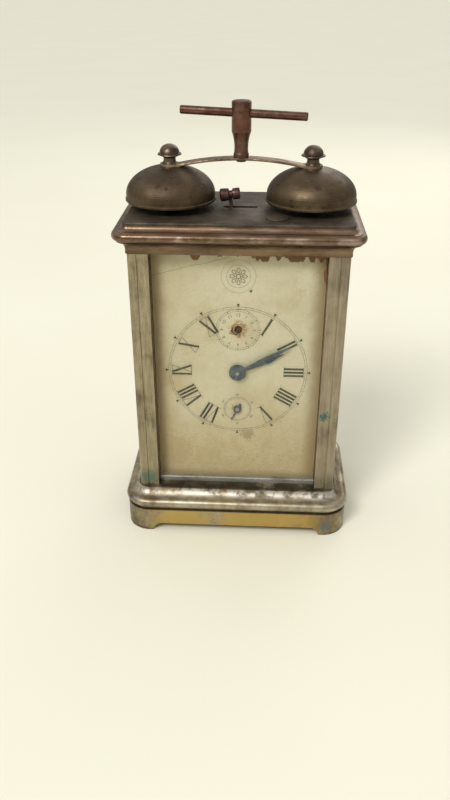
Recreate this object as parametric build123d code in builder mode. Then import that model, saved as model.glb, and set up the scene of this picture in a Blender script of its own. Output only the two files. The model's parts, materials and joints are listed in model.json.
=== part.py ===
from build123d import *
import math
import os

os.makedirs("parts", exist_ok=True)

# Carriage clock with a twin-bell alarm. +Z is up, the dial faces -Y, and the origin is at the
# bottom centre of the case. All sizes are in millimetres.

# Case
body_width = 95.0
body_depth = 52.0
plinth_height = 22.7
post_height = 118.8
post_size = 9.2
post_bead_radius = 1.9
post_reed_width = 0.6
post_reed_depth = 0.6
groove_offset = 1.0  # from a post's outer face to the pane groove
groove_depth = 1.4
pane_thickness = 1.5
pane_side_gap = 0.05
groove_width = pane_thickness + 2 * pane_side_gap
pane_end_gap = 0.1
slide_gap = 0.2

# Plinth moulding, as offsets from the body's outline
plinth_band_offset = 7.0
plinth_band_height = 12.3
plinth_bead_offset = 7.8
plinth_cap_offset = 1.3
plinth_corner_radius = 4.5
plinth_wall = 4.0
plinth_deck = 4.7
foot_length = 13.3
foot_slope = 4.2
foot_arch_height = 4.2

# Cornice moulding, as offsets from the body's outline
cornice_height = 12.3
cornice_foot_offset = 0.5
cornice_bead_offset = 5.9
cornice_fillet_offset = 4.2
cornice_cap_offset = 1.0
cornice_corner_radius = 1.2
cornice_wall = 8.5
top_plate_thickness = 1.2
hammer_slot_length = 15.5
hammer_slot_width = 3.4

# Case screws
screw_radius = 1.5
screw_head_radius = 2.7
screw_head_height = 2.0
screw_length = 11.0
screw_clearance = 0.2

# Dial
dial_setback = 6.5  # from the body's front face to the face of the dial paper
dial_centre_z = 83.6
paper_thickness = 0.2
dial_plate_thickness = 0.8
sill_height = 2.5
sill_depth = 2.1
subdial_distance = 20.9
seconds_distance = 20.0

# Bells and handle
bell_radius = 19.5
bell_clearance = 22.4  # between the two domes, for the hammer
bell_spacing = 2 * bell_radius + bell_clearance
bell_height = 14.6
bell_skirt = 2.6  # the straight part above a bell's rim
bell_gap = 3.2  # from the top plate to a bell's rim
bell_wall = 1.2
bell_crown_flat = 0.25
bell_lip = 0.35
stud_radius = 1.6
stud_shoulder_radius = 3.0
stud_foot_radius = 3.4
strap_width = 6.0
strap_thickness = 1.0
strap_rise = 2.9
strap_eye_radius = 4.2
nut_height = 8.0
handle_post_height = 22.9
handle_post_radius = 4.15
handle_bar_radius = 1.75
handle_bar_length = 53.5
handle_bar_drop = 5.1  # from the post's top to the bar's centre
handle_bar_turn = 2.0
handle_bar_tilt = 2.4
handle_bar_shift = 0.9
plug_radius = 5.0
plug_height = 0.8
plug_place = (16.0, -17.5)

# Movement frame
plate_width = 74.0
plate_height = 89.0
plate_thickness = 1.5
plate_centre_drop = 0.5
movement_depth = 22.5  # between the two plates
motion_space = 3.0  # between the dial plate and the front plate
pillar_radius = 2.0
pillar_end_radius = 1.2
pillar_spacing_x = 67.0
pillar_spacing_z = 81.0
standoff_width = 5.0

# Fits
running_gap = 0.05
seat_gap = 0.01
hole_gap = 0.3

# Trains: arbor places measured from the dial's centre, seen from the front
arbor_radius = 0.9
centre_pipe_radius = 1.5
winding_radius = 2.0
third_place = (9.04, -10.95)
escape_place = (-7.1, -27.1)
pallet_place = (-13.5, -33.5)
balance_place = (-24.0, -33.5)
winding_place = (18.5, 9.95)
alarm_escape_place = (-10.0, 25.2)
hammer_place = (0.0, 37.0)
minute_wheel_angle = 210.0
minute_wheel_distance = 13.06
great_teeth = 72
centre_leaves = 12
centre_teeth = 60
third_leaves = 8
third_teeth = 64
fourth_leaves = 8
fourth_teeth = 64
escape_leaves = 8
escape_teeth = 15
escape_radius = 5.5
alarm_great_teeth = 60
alarm_escape_leaves = 10
alarm_escape_teeth = 17
alarm_escape_radius = 7.0
cannon_leaves = 12
minute_teeth = 36
minute_leaves = 10
hour_teeth = 40
balance_radius = 8.5
wheel_thickness = 0.8

# Hands, as lengths and as angles clockwise from twelve
minute_hand_length = 27.4
minute_hand_angle = 60.0
hour_hand_length = 23.0
hour_hand_angle = 65.0
seconds_hand_length = 6.5
seconds_hand_angle = 206.0
hand_thickness = 0.4
hand_hub_radius = 3.9

# Hammer
hammer_lean = 6.7
hammer_reach = 40.2
hammer_wire_radius = 0.75
hammer_head_length = 8.7
hammer_head_radius = 2.8

# Planes from front to back
front_y = -body_depth / 2
back_y = body_depth / 2
paper_y = front_y + dial_setback
dial_plate_y = paper_y + paper_thickness
dial_back_y = dial_plate_y + dial_plate_thickness
front_plate_y = dial_back_y + motion_space
front_plate_back_y = front_plate_y + plate_thickness
back_plate_y = front_plate_back_y + movement_depth
back_plate_back_y = back_plate_y + plate_thickness
panel_back_y = back_y - groove_offset - (groove_width - pane_thickness) / 2
panel_y = panel_back_y - pane_thickness
pane_front_y = -panel_back_y

# Levels
post_top_z = plinth_height + post_height
cornice_top_z = post_top_z + cornice_height
top_z = cornice_top_z + top_plate_thickness
bell_rim_z = top_z + bell_gap
bell_crown_z = bell_rim_z + bell_height
strap_end_z = bell_crown_z - bell_crown_flat + strap_thickness
strap_top_z = strap_end_z + strap_rise
post_head_z = strap_top_z + handle_post_height
bar_z = post_head_z - handle_bar_drop

opening_width = body_width - 2 * post_size
opening_depth = body_depth - 2 * post_size
pane_width = opening_width + 2 * (groove_depth - slide_gap)
pane_depth = opening_depth + 2 * (groove_depth - slide_gap)
pane_height = post_height - 2 * pane_end_gap
dial_width = opening_width - 2 * slide_gap


def front_plane(y, place=(0.0, 0.0)):
    """A plane that faces the front, at a place measured from the dial's centre."""
    origin = (place[0], y, dial_centre_z + place[1])
    return Plane(origin=origin, x_dir=(1, 0, 0), z_dir=(0, -1, 0))


def rear_plane(y, place=(0.0, 0.0)):
    """A plane that faces the back, with its x to the case's left."""
    origin = (place[0], y, dial_centre_z + place[1])
    return Plane(origin=origin, x_dir=(-1, 0, 0), z_dir=(0, 1, 0))


def distance(first, second):
    return math.hypot(second[0] - first[0], second[1] - first[1])


def direction(first, second):
    return math.degrees(math.atan2(second[1] - first[1], second[0] - first[0]))


def polar(radius, angle, start=(0.0, 0.0)):
    turn = math.radians(angle)
    return (start[0] + radius * math.cos(turn), start[1] + radius * math.sin(turn))


def pitch_radius(first, second, teeth, other_teeth):
    """The pitch radius of a wheel, from its distance to the wheel it meshes with."""
    return distance(first, second) * teeth / (teeth + other_teeth)


def mesh_phase(phase, teeth, other_teeth, angle):
    """The angle of the other wheel's first tooth, so that it stands in a gap of this one."""
    return angle + 180 - (phase - angle) * teeth / other_teeth - 180 / other_teeth


def tooth_points(radius, teeth, phase, addendum, dedendum, widths):
    """Trapezium teeth round a circle: addendum and dedendum are in modules, widths in pitches."""
    module = 2 * radius / teeth
    tip = radius + addendum * module
    root = radius - dedendum * module
    pitch = 360 / teeth
    points = []
    for tooth in range(teeth):
        middle = phase + tooth * pitch
        points.append(polar(root, middle - widths[1] * pitch / 2))
        points.append(polar(tip, middle - widths[0] * pitch / 2))
        points.append(polar(tip, middle + widths[0] * pitch / 2))
        points.append(polar(root, middle + widths[1] * pitch / 2))
    return points


def wheel_points(radius, teeth, phase):
    return tooth_points(radius, teeth, phase, 0.8, 1.05, (0.16, 0.46))


def pinion_points(radius, teeth, phase):
    return tooth_points(radius, teeth, phase, 0.5, 1.15, (0.12, 0.36))


def ratchet_points(radius, depth, teeth, lean):
    """Saw teeth with their steep sides all one way round."""
    points = []
    for tooth in range(teeth):
        middle = tooth * 360 / teeth
        points.append(polar(radius, middle))
        points.append(polar(radius - depth, middle + lean))
    return points


def turned(place, steps):
    """A turned arbor: each step is front y, back y and radius."""
    with BuildPart() as arbor:
        for step_front, step_back, radius in steps:
            with BuildSketch(front_plane(step_back, place)):
                Circle(radius)
            extrude(amount=step_back - step_front)
    return arbor.part


def toothed(place, points, back, thickness, bore=0.0):
    """A toothed disc on its arbor's place, standing forward of its back face."""
    with BuildPart() as disc:
        with BuildSketch(front_plane(back, place)):
            with BuildLine():
                Polyline(*points, close=True)
            make_face()
            if bore:
                Circle(bore, mode=Mode.SUBTRACT)
        extrude(amount=thickness)
    return disc.part


def crossings(place, rim, hub, arms, back, thickness, arm_width=1.3):
    """The windows between a wheel's arms, as a solid to cut away."""
    with BuildPart() as windows:
        with BuildSketch(front_plane(back, place)):
            Circle(rim)
            Circle(hub, mode=Mode.SUBTRACT)
            with PolarLocations(0, arms):
                with Locations((rim / 2, 0)):
                    Rectangle(rim, arm_width, mode=Mode.SUBTRACT)
        extrude(amount=thickness)
    return windows.part


def arm(place, first, second, width, back, thickness):
    """A flat arm with round ends between two points measured from an arbor's place."""
    middle = ((first[0] + second[0]) / 2, (first[1] + second[1]) / 2)
    with BuildPart() as link:
        with BuildSketch(front_plane(back, place)):
            with Locations(middle):
                SlotCenterToCenter(distance(first, second), width, rotation=direction(first, second))
        extrude(amount=thickness)
    return link.part


def spiral_face(inner, outer, turns, strip):
    """A coiled strip drawn as half circles whose centres step from side to side."""
    halves = int(2 * turns)
    growth = (outer - inner) / halves
    with BuildSketch() as coil:
        with BuildLine():
            centre = 0.0
            for half in range(halves):
                radius = inner + half * growth
                side = 1 if half % 2 == 0 else -1
                for edge_radius in (radius, radius - strip):
                    start = (centre + side * edge_radius, 0)
                    end = (centre - side * edge_radius, 0)
                    ThreePointArc(start, (centre, side * edge_radius), end)
                if half == 0:
                    Line((centre + radius - strip, 0), (centre + radius, 0))
                if half == halves - 1:
                    Line((centre - side * radius, 0), (centre - side * (radius - strip), 0))
                centre += side * growth
        make_face()
    return coil.sketch


def finish_piece(piece, name):
    piece.part.label = name
    export_step(piece.part, f"parts/{name}.step")


def outline_path(radius):
    """The body's outline with rounded corners, starting in the middle of the front."""
    half_width = body_width / 2
    half_depth = body_depth / 2
    corners = [(0, -half_depth), (half_width, -half_depth), (half_width, half_depth), (0, half_depth)]
    with BuildLine() as path:
        FilletPolyline(*corners, radius=radius)
        mirror(about=Plane.YZ)
    return path.wire()


moulding_plane = Plane(origin=(0, front_y, 0), x_dir=(0, -1, 0), z_dir=(-1, 0, 0))
post_centre_x = body_width / 2 - post_size / 2
post_centre_y = body_depth / 2 - post_size / 2
post_places = [(x, y) for x in (-post_centre_x, post_centre_x) for y in (-post_centre_y, post_centre_y)]

# Plinth: a moulded base with a deck, hollow underneath, on four bracket feet
bead_low = (plinth_band_offset - 0.9, plinth_band_height + 1.2)
bead_middle = (plinth_bead_offset, plinth_band_height + 3.4)
bead_high = (plinth_band_offset - 1.4, plinth_band_height + 5.9)
cove_middle = (plinth_cap_offset + 1.6, plinth_height - 3.1)
cove_high = (plinth_cap_offset, plinth_height - 0.7)
plinth_path = outline_path(plinth_corner_radius)
with BuildPart() as plinth:
    with BuildSketch(moulding_plane):
        with BuildLine():
            Polyline(
                bead_low,
                (plinth_band_offset - 0.9, plinth_band_height + 0.4),
                (plinth_band_offset, plinth_band_height),
                (plinth_band_offset, 0),
                (-1, 0),
                (-1, plinth_height),
                (plinth_cap_offset, plinth_height),
                cove_high,
            )
            ThreePointArc(cove_high, cove_middle, bead_high)
            ThreePointArc(bead_high, bead_middle, bead_low)
        make_face()
    sweep(path=plinth_path)
    with BuildSketch():
        RectangleRounded(body_width, body_depth, plinth_corner_radius)
    extrude(amount=plinth_height)
    hollow_width = body_width + 2 * (plinth_band_offset - plinth_wall)
    hollow_depth = body_depth + 2 * (plinth_band_offset - plinth_wall)
    with BuildSketch():
        RectangleRounded(hollow_width, hollow_depth, plinth_corner_radius)
    extrude(amount=plinth_band_height, mode=Mode.SUBTRACT)
    with BuildSketch(Plane.XY.offset(plinth_band_height)):
        RectangleRounded(body_width - 2, body_depth - 2, plinth_corner_radius)
    extrude(amount=plinth_height - plinth_deck - plinth_band_height, mode=Mode.SUBTRACT)
    for span, plane in ((body_width, Plane.XZ), (body_depth, Plane.YZ)):
        arch_low = span / 2 + plinth_band_offset - foot_length
        arch_high = arch_low - foot_slope
        with BuildSketch(plane):
            with BuildLine():
                Polyline((arch_low, -1), (-arch_low, -1), (-arch_low, 0))
                ThreePointArc(
                    (-arch_low, 0),
                    (-arch_low + 0.35 * foot_slope, 0.7 * foot_arch_height),
                    (-arch_high, foot_arch_height),
                )
                Line((-arch_high, foot_arch_height), (arch_high, foot_arch_height))
                ThreePointArc(
                    (arch_high, foot_arch_height),
                    (arch_low - 0.35 * foot_slope, 0.7 * foot_arch_height),
                    (arch_low, 0),
                )
                Line((arch_low, 0), (arch_low, -1))
            make_face()
        extrude(amount=body_width, both=True, mode=Mode.SUBTRACT)
    with BuildSketch(Plane.XY.offset(plinth_height)):
        with Locations(*post_places):
            Circle(screw_radius + screw_clearance)
    extrude(amount=-plinth_deck - 1, mode=Mode.SUBTRACT)
finish_piece(plinth, "plinth")


# Corner posts: one section, turned for each corner, with a bead on the outer edge
def corner_post(side_x, side_y):
    def across(u, v):
        return (side_x * (body_width / 2 - u), side_y * (body_depth / 2 - v))

    bead_edge = 2 * post_bead_radius + 0.2
    groove_middle = groove_offset + groove_width / 2
    with BuildPart() as post:
        with BuildSketch(Plane.XY.offset(plinth_height)) as section:
            with Locations(across(post_size / 2, post_size / 2)):
                Rectangle(post_size, post_size)
            fillet(section.vertices().sort_by_distance(across(0, 0))[0], post_bead_radius)
            with Locations(across(bead_edge + post_reed_width / 2, 0)):
                Rectangle(post_reed_width, 2 * post_reed_depth, mode=Mode.SUBTRACT)
            with Locations(across(0, bead_edge + post_reed_width / 2)):
                Rectangle(2 * post_reed_depth, post_reed_width, mode=Mode.SUBTRACT)
            with Locations(across(post_size, groove_middle)):
                Rectangle(2 * groove_depth, groove_width, mode=Mode.SUBTRACT)
            with Locations(across(groove_middle, post_size)):
                Rectangle(groove_width, 2 * groove_depth, mode=Mode.SUBTRACT)
        extrude(amount=post_height)
        with BuildSketch(Plane.XY.offset(plinth_height)):
            with Locations(across(post_size / 2, post_size / 2)):
                Circle(screw_radius + seat_gap)
        extrude(amount=screw_length - plinth_deck + 1, mode=Mode.SUBTRACT)
        with BuildSketch(Plane.XY.offset(post_top_z)):
            with Locations(across(post_size / 2, post_size / 2)):
                Circle(screw_radius + seat_gap)
        extrude(amount=-screw_length, mode=Mode.SUBTRACT)
    return post


front_left_post = corner_post(-1, -1)
finish_piece(front_left_post, "front_left_post")
front_right_post = corner_post(1, -1)
finish_piece(front_right_post, "front_right_post")
rear_left_post = corner_post(-1, 1)
finish_piece(rear_left_post, "rear_left_post")
rear_right_post = corner_post(1, 1)
finish_piece(rear_right_post, "rear_right_post")

# Cornice: a hollow moulded frame on the posts
cornice_neck_z = post_top_z + 1.0
cornice_bead_low_z = post_top_z + 6.0
cornice_bead_high_z = post_top_z + 10.0
cornice_path = outline_path(cornice_corner_radius)
with BuildPart() as cornice:
    with BuildSketch(moulding_plane):
        with BuildLine():
            Polyline(
                (cornice_cap_offset, cornice_top_z),
                (-1, cornice_top_z),
                (-1, post_top_z),
                (cornice_foot_offset, post_top_z),
                (cornice_foot_offset, cornice_neck_z),
            )
            ThreePointArc(
                (cornice_foot_offset, cornice_neck_z),
                (cornice_foot_offset + 0.8, cornice_neck_z + 3.0),
                (cornice_fillet_offset - 0.2, cornice_bead_low_z - 0.6),
            )
            Polyline(
                (cornice_fillet_offset - 0.2, cornice_bead_low_z - 0.6),
                (cornice_fillet_offset, cornice_bead_low_z - 0.4),
                (cornice_fillet_offset, cornice_bead_low_z),
            )
            ThreePointArc(
                (cornice_fillet_offset, cornice_bead_low_z),
                (cornice_bead_offset, (cornice_bead_low_z + cornice_bead_high_z) / 2 + 0.2),
                (cornice_fillet_offset, cornice_bead_high_z),
            )
            Line((cornice_fillet_offset, cornice_bead_high_z), (cornice_fillet_offset, cornice_bead_high_z + 0.3))
            ThreePointArc(
                (cornice_fillet_offset, cornice_bead_high_z + 0.3),
                (cornice_cap_offset + 0.7, cornice_bead_high_z + 1.0),
                (cornice_cap_offset, cornice_top_z),
            )
        make_face()
    sweep(path=cornice_path)
    with BuildSketch(Plane.XY.offset(post_top_z)):
        Rectangle(body_width, body_depth)
        Rectangle(body_width - 2 * cornice_wall, body_depth - 2 * cornice_wall, mode=Mode.SUBTRACT)
    extrude(amount=cornice_height)
    with Locations(*[(x, y, cornice_top_z) for x, y in post_places]):
        CounterBoreHole(
            screw_radius + screw_clearance,
            screw_head_radius + screw_clearance,
            cornice_height - screw_length + 4.5,
            cornice_height,
        )
finish_piece(cornice, "cornice")

# Screws that hold the posts: from under the plinth's deck, and down through the cornice
screw_seat_low_z = plinth_height - plinth_deck
screw_seat_high_z = post_top_z + screw_length - 4.5
with BuildPart() as case_screws:
    for seat_z, way in ((screw_seat_low_z, 1), (screw_seat_high_z, -1)):
        with BuildSketch(Plane.XY.offset(seat_z)):
            with Locations(*post_places):
                Circle(screw_radius)
        extrude(amount=way * screw_length)
        with BuildSketch(Plane.XY.offset(seat_z)):
            with Locations(*post_places):
                Circle(screw_head_radius)
        extrude(amount=-way * screw_head_height)
        with BuildSketch(Plane.XY.offset(seat_z - way * screw_head_height)):
            with Locations(*post_places):
                Rectangle(2 * screw_head_radius, 0.8)
        extrude(amount=way * 0.7, mode=Mode.SUBTRACT)
finish_piece(case_screws, "case_screws")

# Top plate, with the slot that the hammer's wire swings in and the holes for the bell studs
bell_centres = [-bell_spacing / 2, bell_spacing / 2]
bell_places = [(centre_x, 0) for centre_x in bell_centres]
with BuildPart() as top_plate:
    with BuildSketch(Plane.XY.offset(cornice_top_z)):
        RectangleRounded(
            body_width + 2 * cornice_cap_offset, body_depth + 2 * cornice_cap_offset, cornice_corner_radius + 1
        )
        SlotOverall(hammer_slot_length, hammer_slot_width, mode=Mode.SUBTRACT)
        with Locations(*bell_places):
            Circle(stud_radius + seat_gap, mode=Mode.SUBTRACT)
        with Locations(plug_place):
            Circle(plug_radius - 1.5, mode=Mode.SUBTRACT)
    extrude(amount=top_plate_thickness)
    fillet(top_plate.faces().sort_by(Axis.Z)[-1].outer_wire().edges(), 0.5)
finish_piece(top_plate, "top_plate")

# Plug that closes the spare hole in the top plate
with BuildPart() as top_plug:
    with BuildSketch(Plane.XY.offset(top_z)):
        with Locations(plug_place):
            Circle(plug_radius)
    extrude(amount=plug_height)
    fillet(top_plug.edges().group_by(Axis.Z)[-1], 0.3)
    with BuildSketch(Plane.XY.offset(top_z + plug_height)):
        with Locations((plug_place[0] + plug_radius - 0.9, plug_place[1])):
            Rectangle(2.2, 1.4)
    extrude(amount=-plug_height / 2, mode=Mode.SUBTRACT)
    with BuildSketch(Plane.XY.offset(top_z)):
        with Locations(plug_place):
            Circle(plug_radius - 1.5 - running_gap)
    extrude(amount=-top_plate_thickness)
finish_piece(top_plug, "top_plug")

# Panes: clear glass at the front and sides
with BuildPart() as front_glass:
    with BuildSketch(Plane.XY.offset(plinth_height + pane_end_gap)):
        with Locations((0, pane_front_y + pane_thickness / 2)):
            Rectangle(pane_width, pane_thickness)
    extrude(amount=pane_height)
    chamfer(front_glass.edges().filter_by(Axis.Z), 0.2)
finish_piece(front_glass, "front_glass")


def side_pane(side):
    pane_x = side * (body_width / 2 - groove_offset - groove_width / 2)
    with BuildPart() as pane:
        with BuildSketch(Plane.XY.offset(plinth_height + pane_end_gap)):
            with Locations((pane_x, 0)):
                Rectangle(pane_thickness, pane_depth)
        extrude(amount=pane_height)
        chamfer(pane.edges().filter_by(Axis.Z), 0.2)
    return pane


left_glass = side_pane(-1)
finish_piece(left_glass, "left_glass")
right_glass = side_pane(1)
finish_piece(right_glass, "right_glass")

# Sill: the rail at the foot of the dial
with BuildPart() as front_sill:
    with BuildSketch(Plane.XY.offset(plinth_height)):
        with Locations((0, paper_y - sill_depth / 2 - running_gap)):
            Rectangle(dial_width, sill_depth)
    extrude(amount=sill_height)
    fillet(front_sill.edges().filter_by(Axis.X).sort_by(Axis.Y)[:2].sort_by(Axis.Z)[-1], 0.7)
finish_piece(front_sill, "front_sill")

# Dial plate and paper
alarm_place = (0.0, subdial_distance)
seconds_place = (0.0, -seconds_distance)
hour_pipe_radius = 2.25
alarm_tip_radius = 1.6
dial_low = plinth_height + pane_end_gap - dial_centre_z
dial_high = post_top_z - pane_end_gap - dial_centre_z
dial_middle = (dial_low + dial_high) / 2


def dial_layer(back, thickness, alarm_hole, low):
    with BuildPart() as layer:
        with BuildSketch(front_plane(back)):
            with Locations((0, (low + dial_high) / 2)):
                Rectangle(dial_width, dial_high - low)
            Circle(hour_pipe_radius + hole_gap, mode=Mode.SUBTRACT)
            with Locations(seconds_place):
                Circle(arbor_radius + hole_gap, mode=Mode.SUBTRACT)
            with Locations(alarm_place):
                Circle(alarm_hole, mode=Mode.SUBTRACT)
        extrude(amount=thickness)
    return layer


dial_plate = dial_layer(dial_back_y, dial_plate_thickness, alarm_tip_radius + hole_gap, dial_low)
finish_piece(dial_plate, "dial_plate")
dial_paper = dial_layer(dial_plate_y, paper_thickness, alarm_tip_radius + 2 * hole_gap, dial_low)
finish_piece(dial_paper, "dial_paper")


# Bells: thin domes with a turned lip
shoulder_z = bell_rim_z + bell_skirt
dome_height = bell_height - bell_skirt


def bell(side):
    centre_x = side * bell_spacing / 2
    with BuildPart() as dome:
        with BuildSketch(Plane.XZ):
            with BuildLine():
                EllipticalCenterArc((centre_x, shoulder_z), bell_radius, dome_height, 0, arc_size=90)
                Line((centre_x, bell_crown_z), (centre_x, bell_crown_z - bell_wall))
                EllipticalCenterArc(
                    (centre_x, shoulder_z), bell_radius - bell_wall, dome_height - bell_wall, 0, arc_size=90
                )
                Polyline(
                    (centre_x + bell_radius - bell_wall, shoulder_z),
                    (centre_x + bell_radius - bell_wall, bell_rim_z),
                    (centre_x + bell_radius, bell_rim_z),
                    (centre_x + bell_radius, shoulder_z),
                )
            make_face()
            with BuildLine():
                Polyline(
                    (centre_x + bell_radius - bell_wall, bell_rim_z),
                    (centre_x + bell_radius + bell_lip - 0.2, bell_rim_z),
                    (centre_x + bell_radius + bell_lip, bell_rim_z + 0.25),
                    (centre_x + bell_radius + bell_lip, bell_rim_z + 0.9),
                    (centre_x + bell_radius - 0.2, bell_rim_z + 1.4),
                    (centre_x + bell_radius - bell_wall, bell_rim_z + 1.2),
                    close=True,
                )
            make_face()
        revolve(axis=Axis((centre_x, 0, 0), (0, 0, 1)))
        with BuildSketch(Plane.XY.offset(bell_crown_z + 1)):
            with Locations((centre_x, 0)):
                Circle(stud_radius + seat_gap)
        extrude(amount=-bell_wall - 2, mode=Mode.SUBTRACT)
        with BuildSketch(Plane.XY.offset(bell_crown_z)):
            with Locations((centre_x, 0)):
                Circle(stud_shoulder_radius + 2)
        extrude(amount=-bell_crown_flat, mode=Mode.SUBTRACT)
    return dome


left_bell = bell(-1)
finish_piece(left_bell, "left_bell")
right_bell = bell(1)
finish_piece(right_bell, "right_bell")

# Bell studs: shouldered posts riveted through the top plate, threaded above the bells
shoulder_share = stud_shoulder_radius / (bell_radius - bell_wall)
bell_seat_z = shoulder_z + (dome_height - bell_wall) * math.sqrt(1 - shoulder_share**2) - seat_gap
stud_tip_z = strap_end_z + nut_height - 2.5
with BuildPart() as bell_studs:
    for centre_x in bell_centres:
        with BuildSketch(Plane.XZ):
            with BuildLine():
                Polyline(
                    (centre_x, cornice_top_z - 1.5),
                    (centre_x + stud_foot_radius, cornice_top_z - 1.5),
                    (centre_x + stud_foot_radius, cornice_top_z),
                    (centre_x + stud_radius, cornice_top_z),
                    (centre_x + stud_radius, top_z),
                    (centre_x + stud_shoulder_radius, top_z),
                    (centre_x + stud_shoulder_radius, top_z + 2),
                    (centre_x + stud_shoulder_radius - 0.8, top_z + 3),
                    (centre_x + stud_shoulder_radius - 0.8, bell_seat_z - 1),
                    (centre_x + stud_shoulder_radius, bell_seat_z),
                    (centre_x + stud_radius, bell_seat_z),
                    (centre_x + stud_radius, stud_tip_z),
                    (centre_x, stud_tip_z),
                    close=True,
                )
            make_face()
        revolve(axis=Axis((centre_x, 0, 0), (0, 0, 1)))
finish_piece(bell_studs, "bell_studs")

# Finial nuts that clamp the bells and the strap
nut_base_z = strap_end_z
nut_profile = [(3.4, 0.0), (2.7, 1.0), (2.6, 2.4), (3.6, 3.1), (5.2, 3.7), (5.0, 4.1), (4.35, 4.3)]
nut_dome_middle = (3.4, 6.6)
nut_tip_radius = 0.6
nut_bore = stud_radius + seat_gap
with BuildPart() as bell_nuts:
    for centre_x in bell_centres:
        with BuildSketch(Plane.XZ):
            with BuildLine():
                Polyline(
                    (centre_x, stud_tip_z + 0.1),
                    (centre_x + nut_bore, stud_tip_z + 0.1),
                    (centre_x + nut_bore, nut_base_z),
                    *[(centre_x + radius, nut_base_z + height) for radius, height in nut_profile],
                )
                ThreePointArc(
                    (centre_x + nut_profile[-1][0], nut_base_z + nut_profile[-1][1]),
                    (centre_x + nut_dome_middle[0], nut_base_z + nut_dome_middle[1]),
                    (centre_x + nut_tip_radius, nut_base_z + nut_height),
                )
                Line((centre_x + nut_tip_radius, nut_base_z + nut_height), (centre_x, nut_base_z + nut_height))
                Line((centre_x, nut_base_z + nut_height), (centre_x, stud_tip_z + 0.1))
            make_face()
        revolve(axis=Axis((centre_x, 0, 0), (0, 0, 1)))
finish_piece(bell_nuts, "bell_nuts")

# Handle strap: a flat strip, arched between its two eyes
strap_flat_x = bell_spacing / 2 - strap_eye_radius
tenon_radius = 1.5
with BuildPart() as handle_strap:
    with BuildSketch(Plane.XZ):
        with BuildLine():
            ThreePointArc(
                (-strap_flat_x, strap_end_z), (0, strap_top_z), (strap_flat_x, strap_end_z)
            )
            Line((strap_flat_x, strap_end_z), (strap_flat_x, strap_end_z - strap_thickness))
            ThreePointArc(
                (strap_flat_x, strap_end_z - strap_thickness),
                (0, strap_top_z - strap_thickness),
                (-strap_flat_x, strap_end_z - strap_thickness),
            )
            Line((-strap_flat_x, strap_end_z - strap_thickness), (-strap_flat_x, strap_end_z))
        make_face()
    extrude(amount=strap_width / 2, both=True)
    fillet(handle_strap.edges().filter_by(GeomType.CIRCLE), 0.25)
    with BuildSketch(Plane.XY.offset(strap_end_z - strap_thickness)):
        with Locations(*bell_places):
            Circle(strap_eye_radius)
        for side in (-1, 1):
            with Locations((side * (bell_spacing / 2 - strap_eye_radius / 2), 0)):
                Rectangle(strap_eye_radius + 0.4, strap_width)
    extrude(amount=strap_thickness)
    with BuildSketch(Plane.XY.offset(strap_top_z + 1)):
        with Locations(*bell_places):
            Circle(stud_radius + seat_gap)
        Circle(tenon_radius + seat_gap)
    extrude(amount=-strap_rise - strap_thickness - 2, mode=Mode.SUBTRACT)
finish_piece(handle_strap, "handle_strap")

# Handle post: a waisted turning with a cylinder head, riveted through the strap
post_neck_z = strap_top_z + 10.5
post_collar_radius = 3.3
post_waist_radius = 3.05
bar_drop = math.tan(math.radians(handle_bar_tilt))
bar_plane = Plane(
    origin=(0, 0, bar_z),
    x_dir=(0, 1, 0),
    z_dir=(math.cos(math.radians(handle_bar_turn)), -math.sin(math.radians(handle_bar_turn)), -bar_drop),
)
with BuildPart() as handle_post:
    with BuildSketch(Plane.XZ):
        with BuildLine():
            Polyline(
                (0, strap_top_z - strap_thickness - 0.8),
                (tenon_radius + 0.6, strap_top_z - strap_thickness - 0.8),
                (tenon_radius + 0.6, strap_top_z - strap_thickness - 0.05),
                (tenon_radius, strap_top_z - strap_thickness - 0.05),
                (tenon_radius, strap_top_z + 0.02),
                (post_collar_radius, strap_top_z + 0.02),
                (post_collar_radius, strap_top_z + 1.3),
                (post_waist_radius, strap_top_z + 2.0),
            )
            ThreePointArc(
                (post_waist_radius, strap_top_z + 2.0),
                (post_waist_radius + 0.15, strap_top_z + 7.0),
                (handle_post_radius, post_neck_z),
            )
            Polyline(
                (handle_post_radius, post_neck_z),
                (handle_post_radius, post_head_z - 0.6),
                (handle_post_radius - 0.5, post_head_z - 0.2),
                (0, post_head_z),
                (0, strap_top_z - strap_thickness - 0.8),
            )
        make_face()
    revolve(axis=Axis.Z)
    with BuildSketch(bar_plane):
        Circle(handle_bar_radius + seat_gap)
    extrude(amount=2 * handle_post_radius, both=True, mode=Mode.SUBTRACT)
finish_piece(handle_post, "handle_post")

# Handle bar: a round cross bar pressed through the post's head
with BuildPart() as handle_bar:
    with BuildSketch(bar_plane.offset(handle_bar_shift)):
        Circle(handle_bar_radius)
    extrude(amount=handle_bar_length / 2, both=True)
    fillet(handle_bar.edges().filter_by(GeomType.CIRCLE), 0.6)
finish_piece(handle_bar, "handle_bar")

# Movement frame: two plates on pillars, hung on the back panel by standoffs
alarm_winding_place = (-winding_place[0], winding_place[1])
minute_wheel_place = polar(minute_wheel_distance, minute_wheel_angle)
plate_low = -plate_centre_drop
minute_stud_radius = 1.0
small_pivots = [third_place, seconds_place, escape_place, pallet_place, balance_place]
small_pivots += [alarm_escape_place, hammer_place, alarm_place]
winding_pivots = [winding_place, alarm_winding_place]
pillar_layout = [
    (x, plate_low + z)
    for x in (-pillar_spacing_x / 2, pillar_spacing_x / 2)
    for z in (-pillar_spacing_z / 2, pillar_spacing_z / 2)
]
spring_back_y = back_plate_y - 7.5
spring_front_y = spring_back_y - 9.0
spring_outer_radius = 14.6
spring_strip = 0.4
spring_post_radius = 1.2
spring_post_reach = spring_outer_radius + spring_post_radius + 0.2


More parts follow.
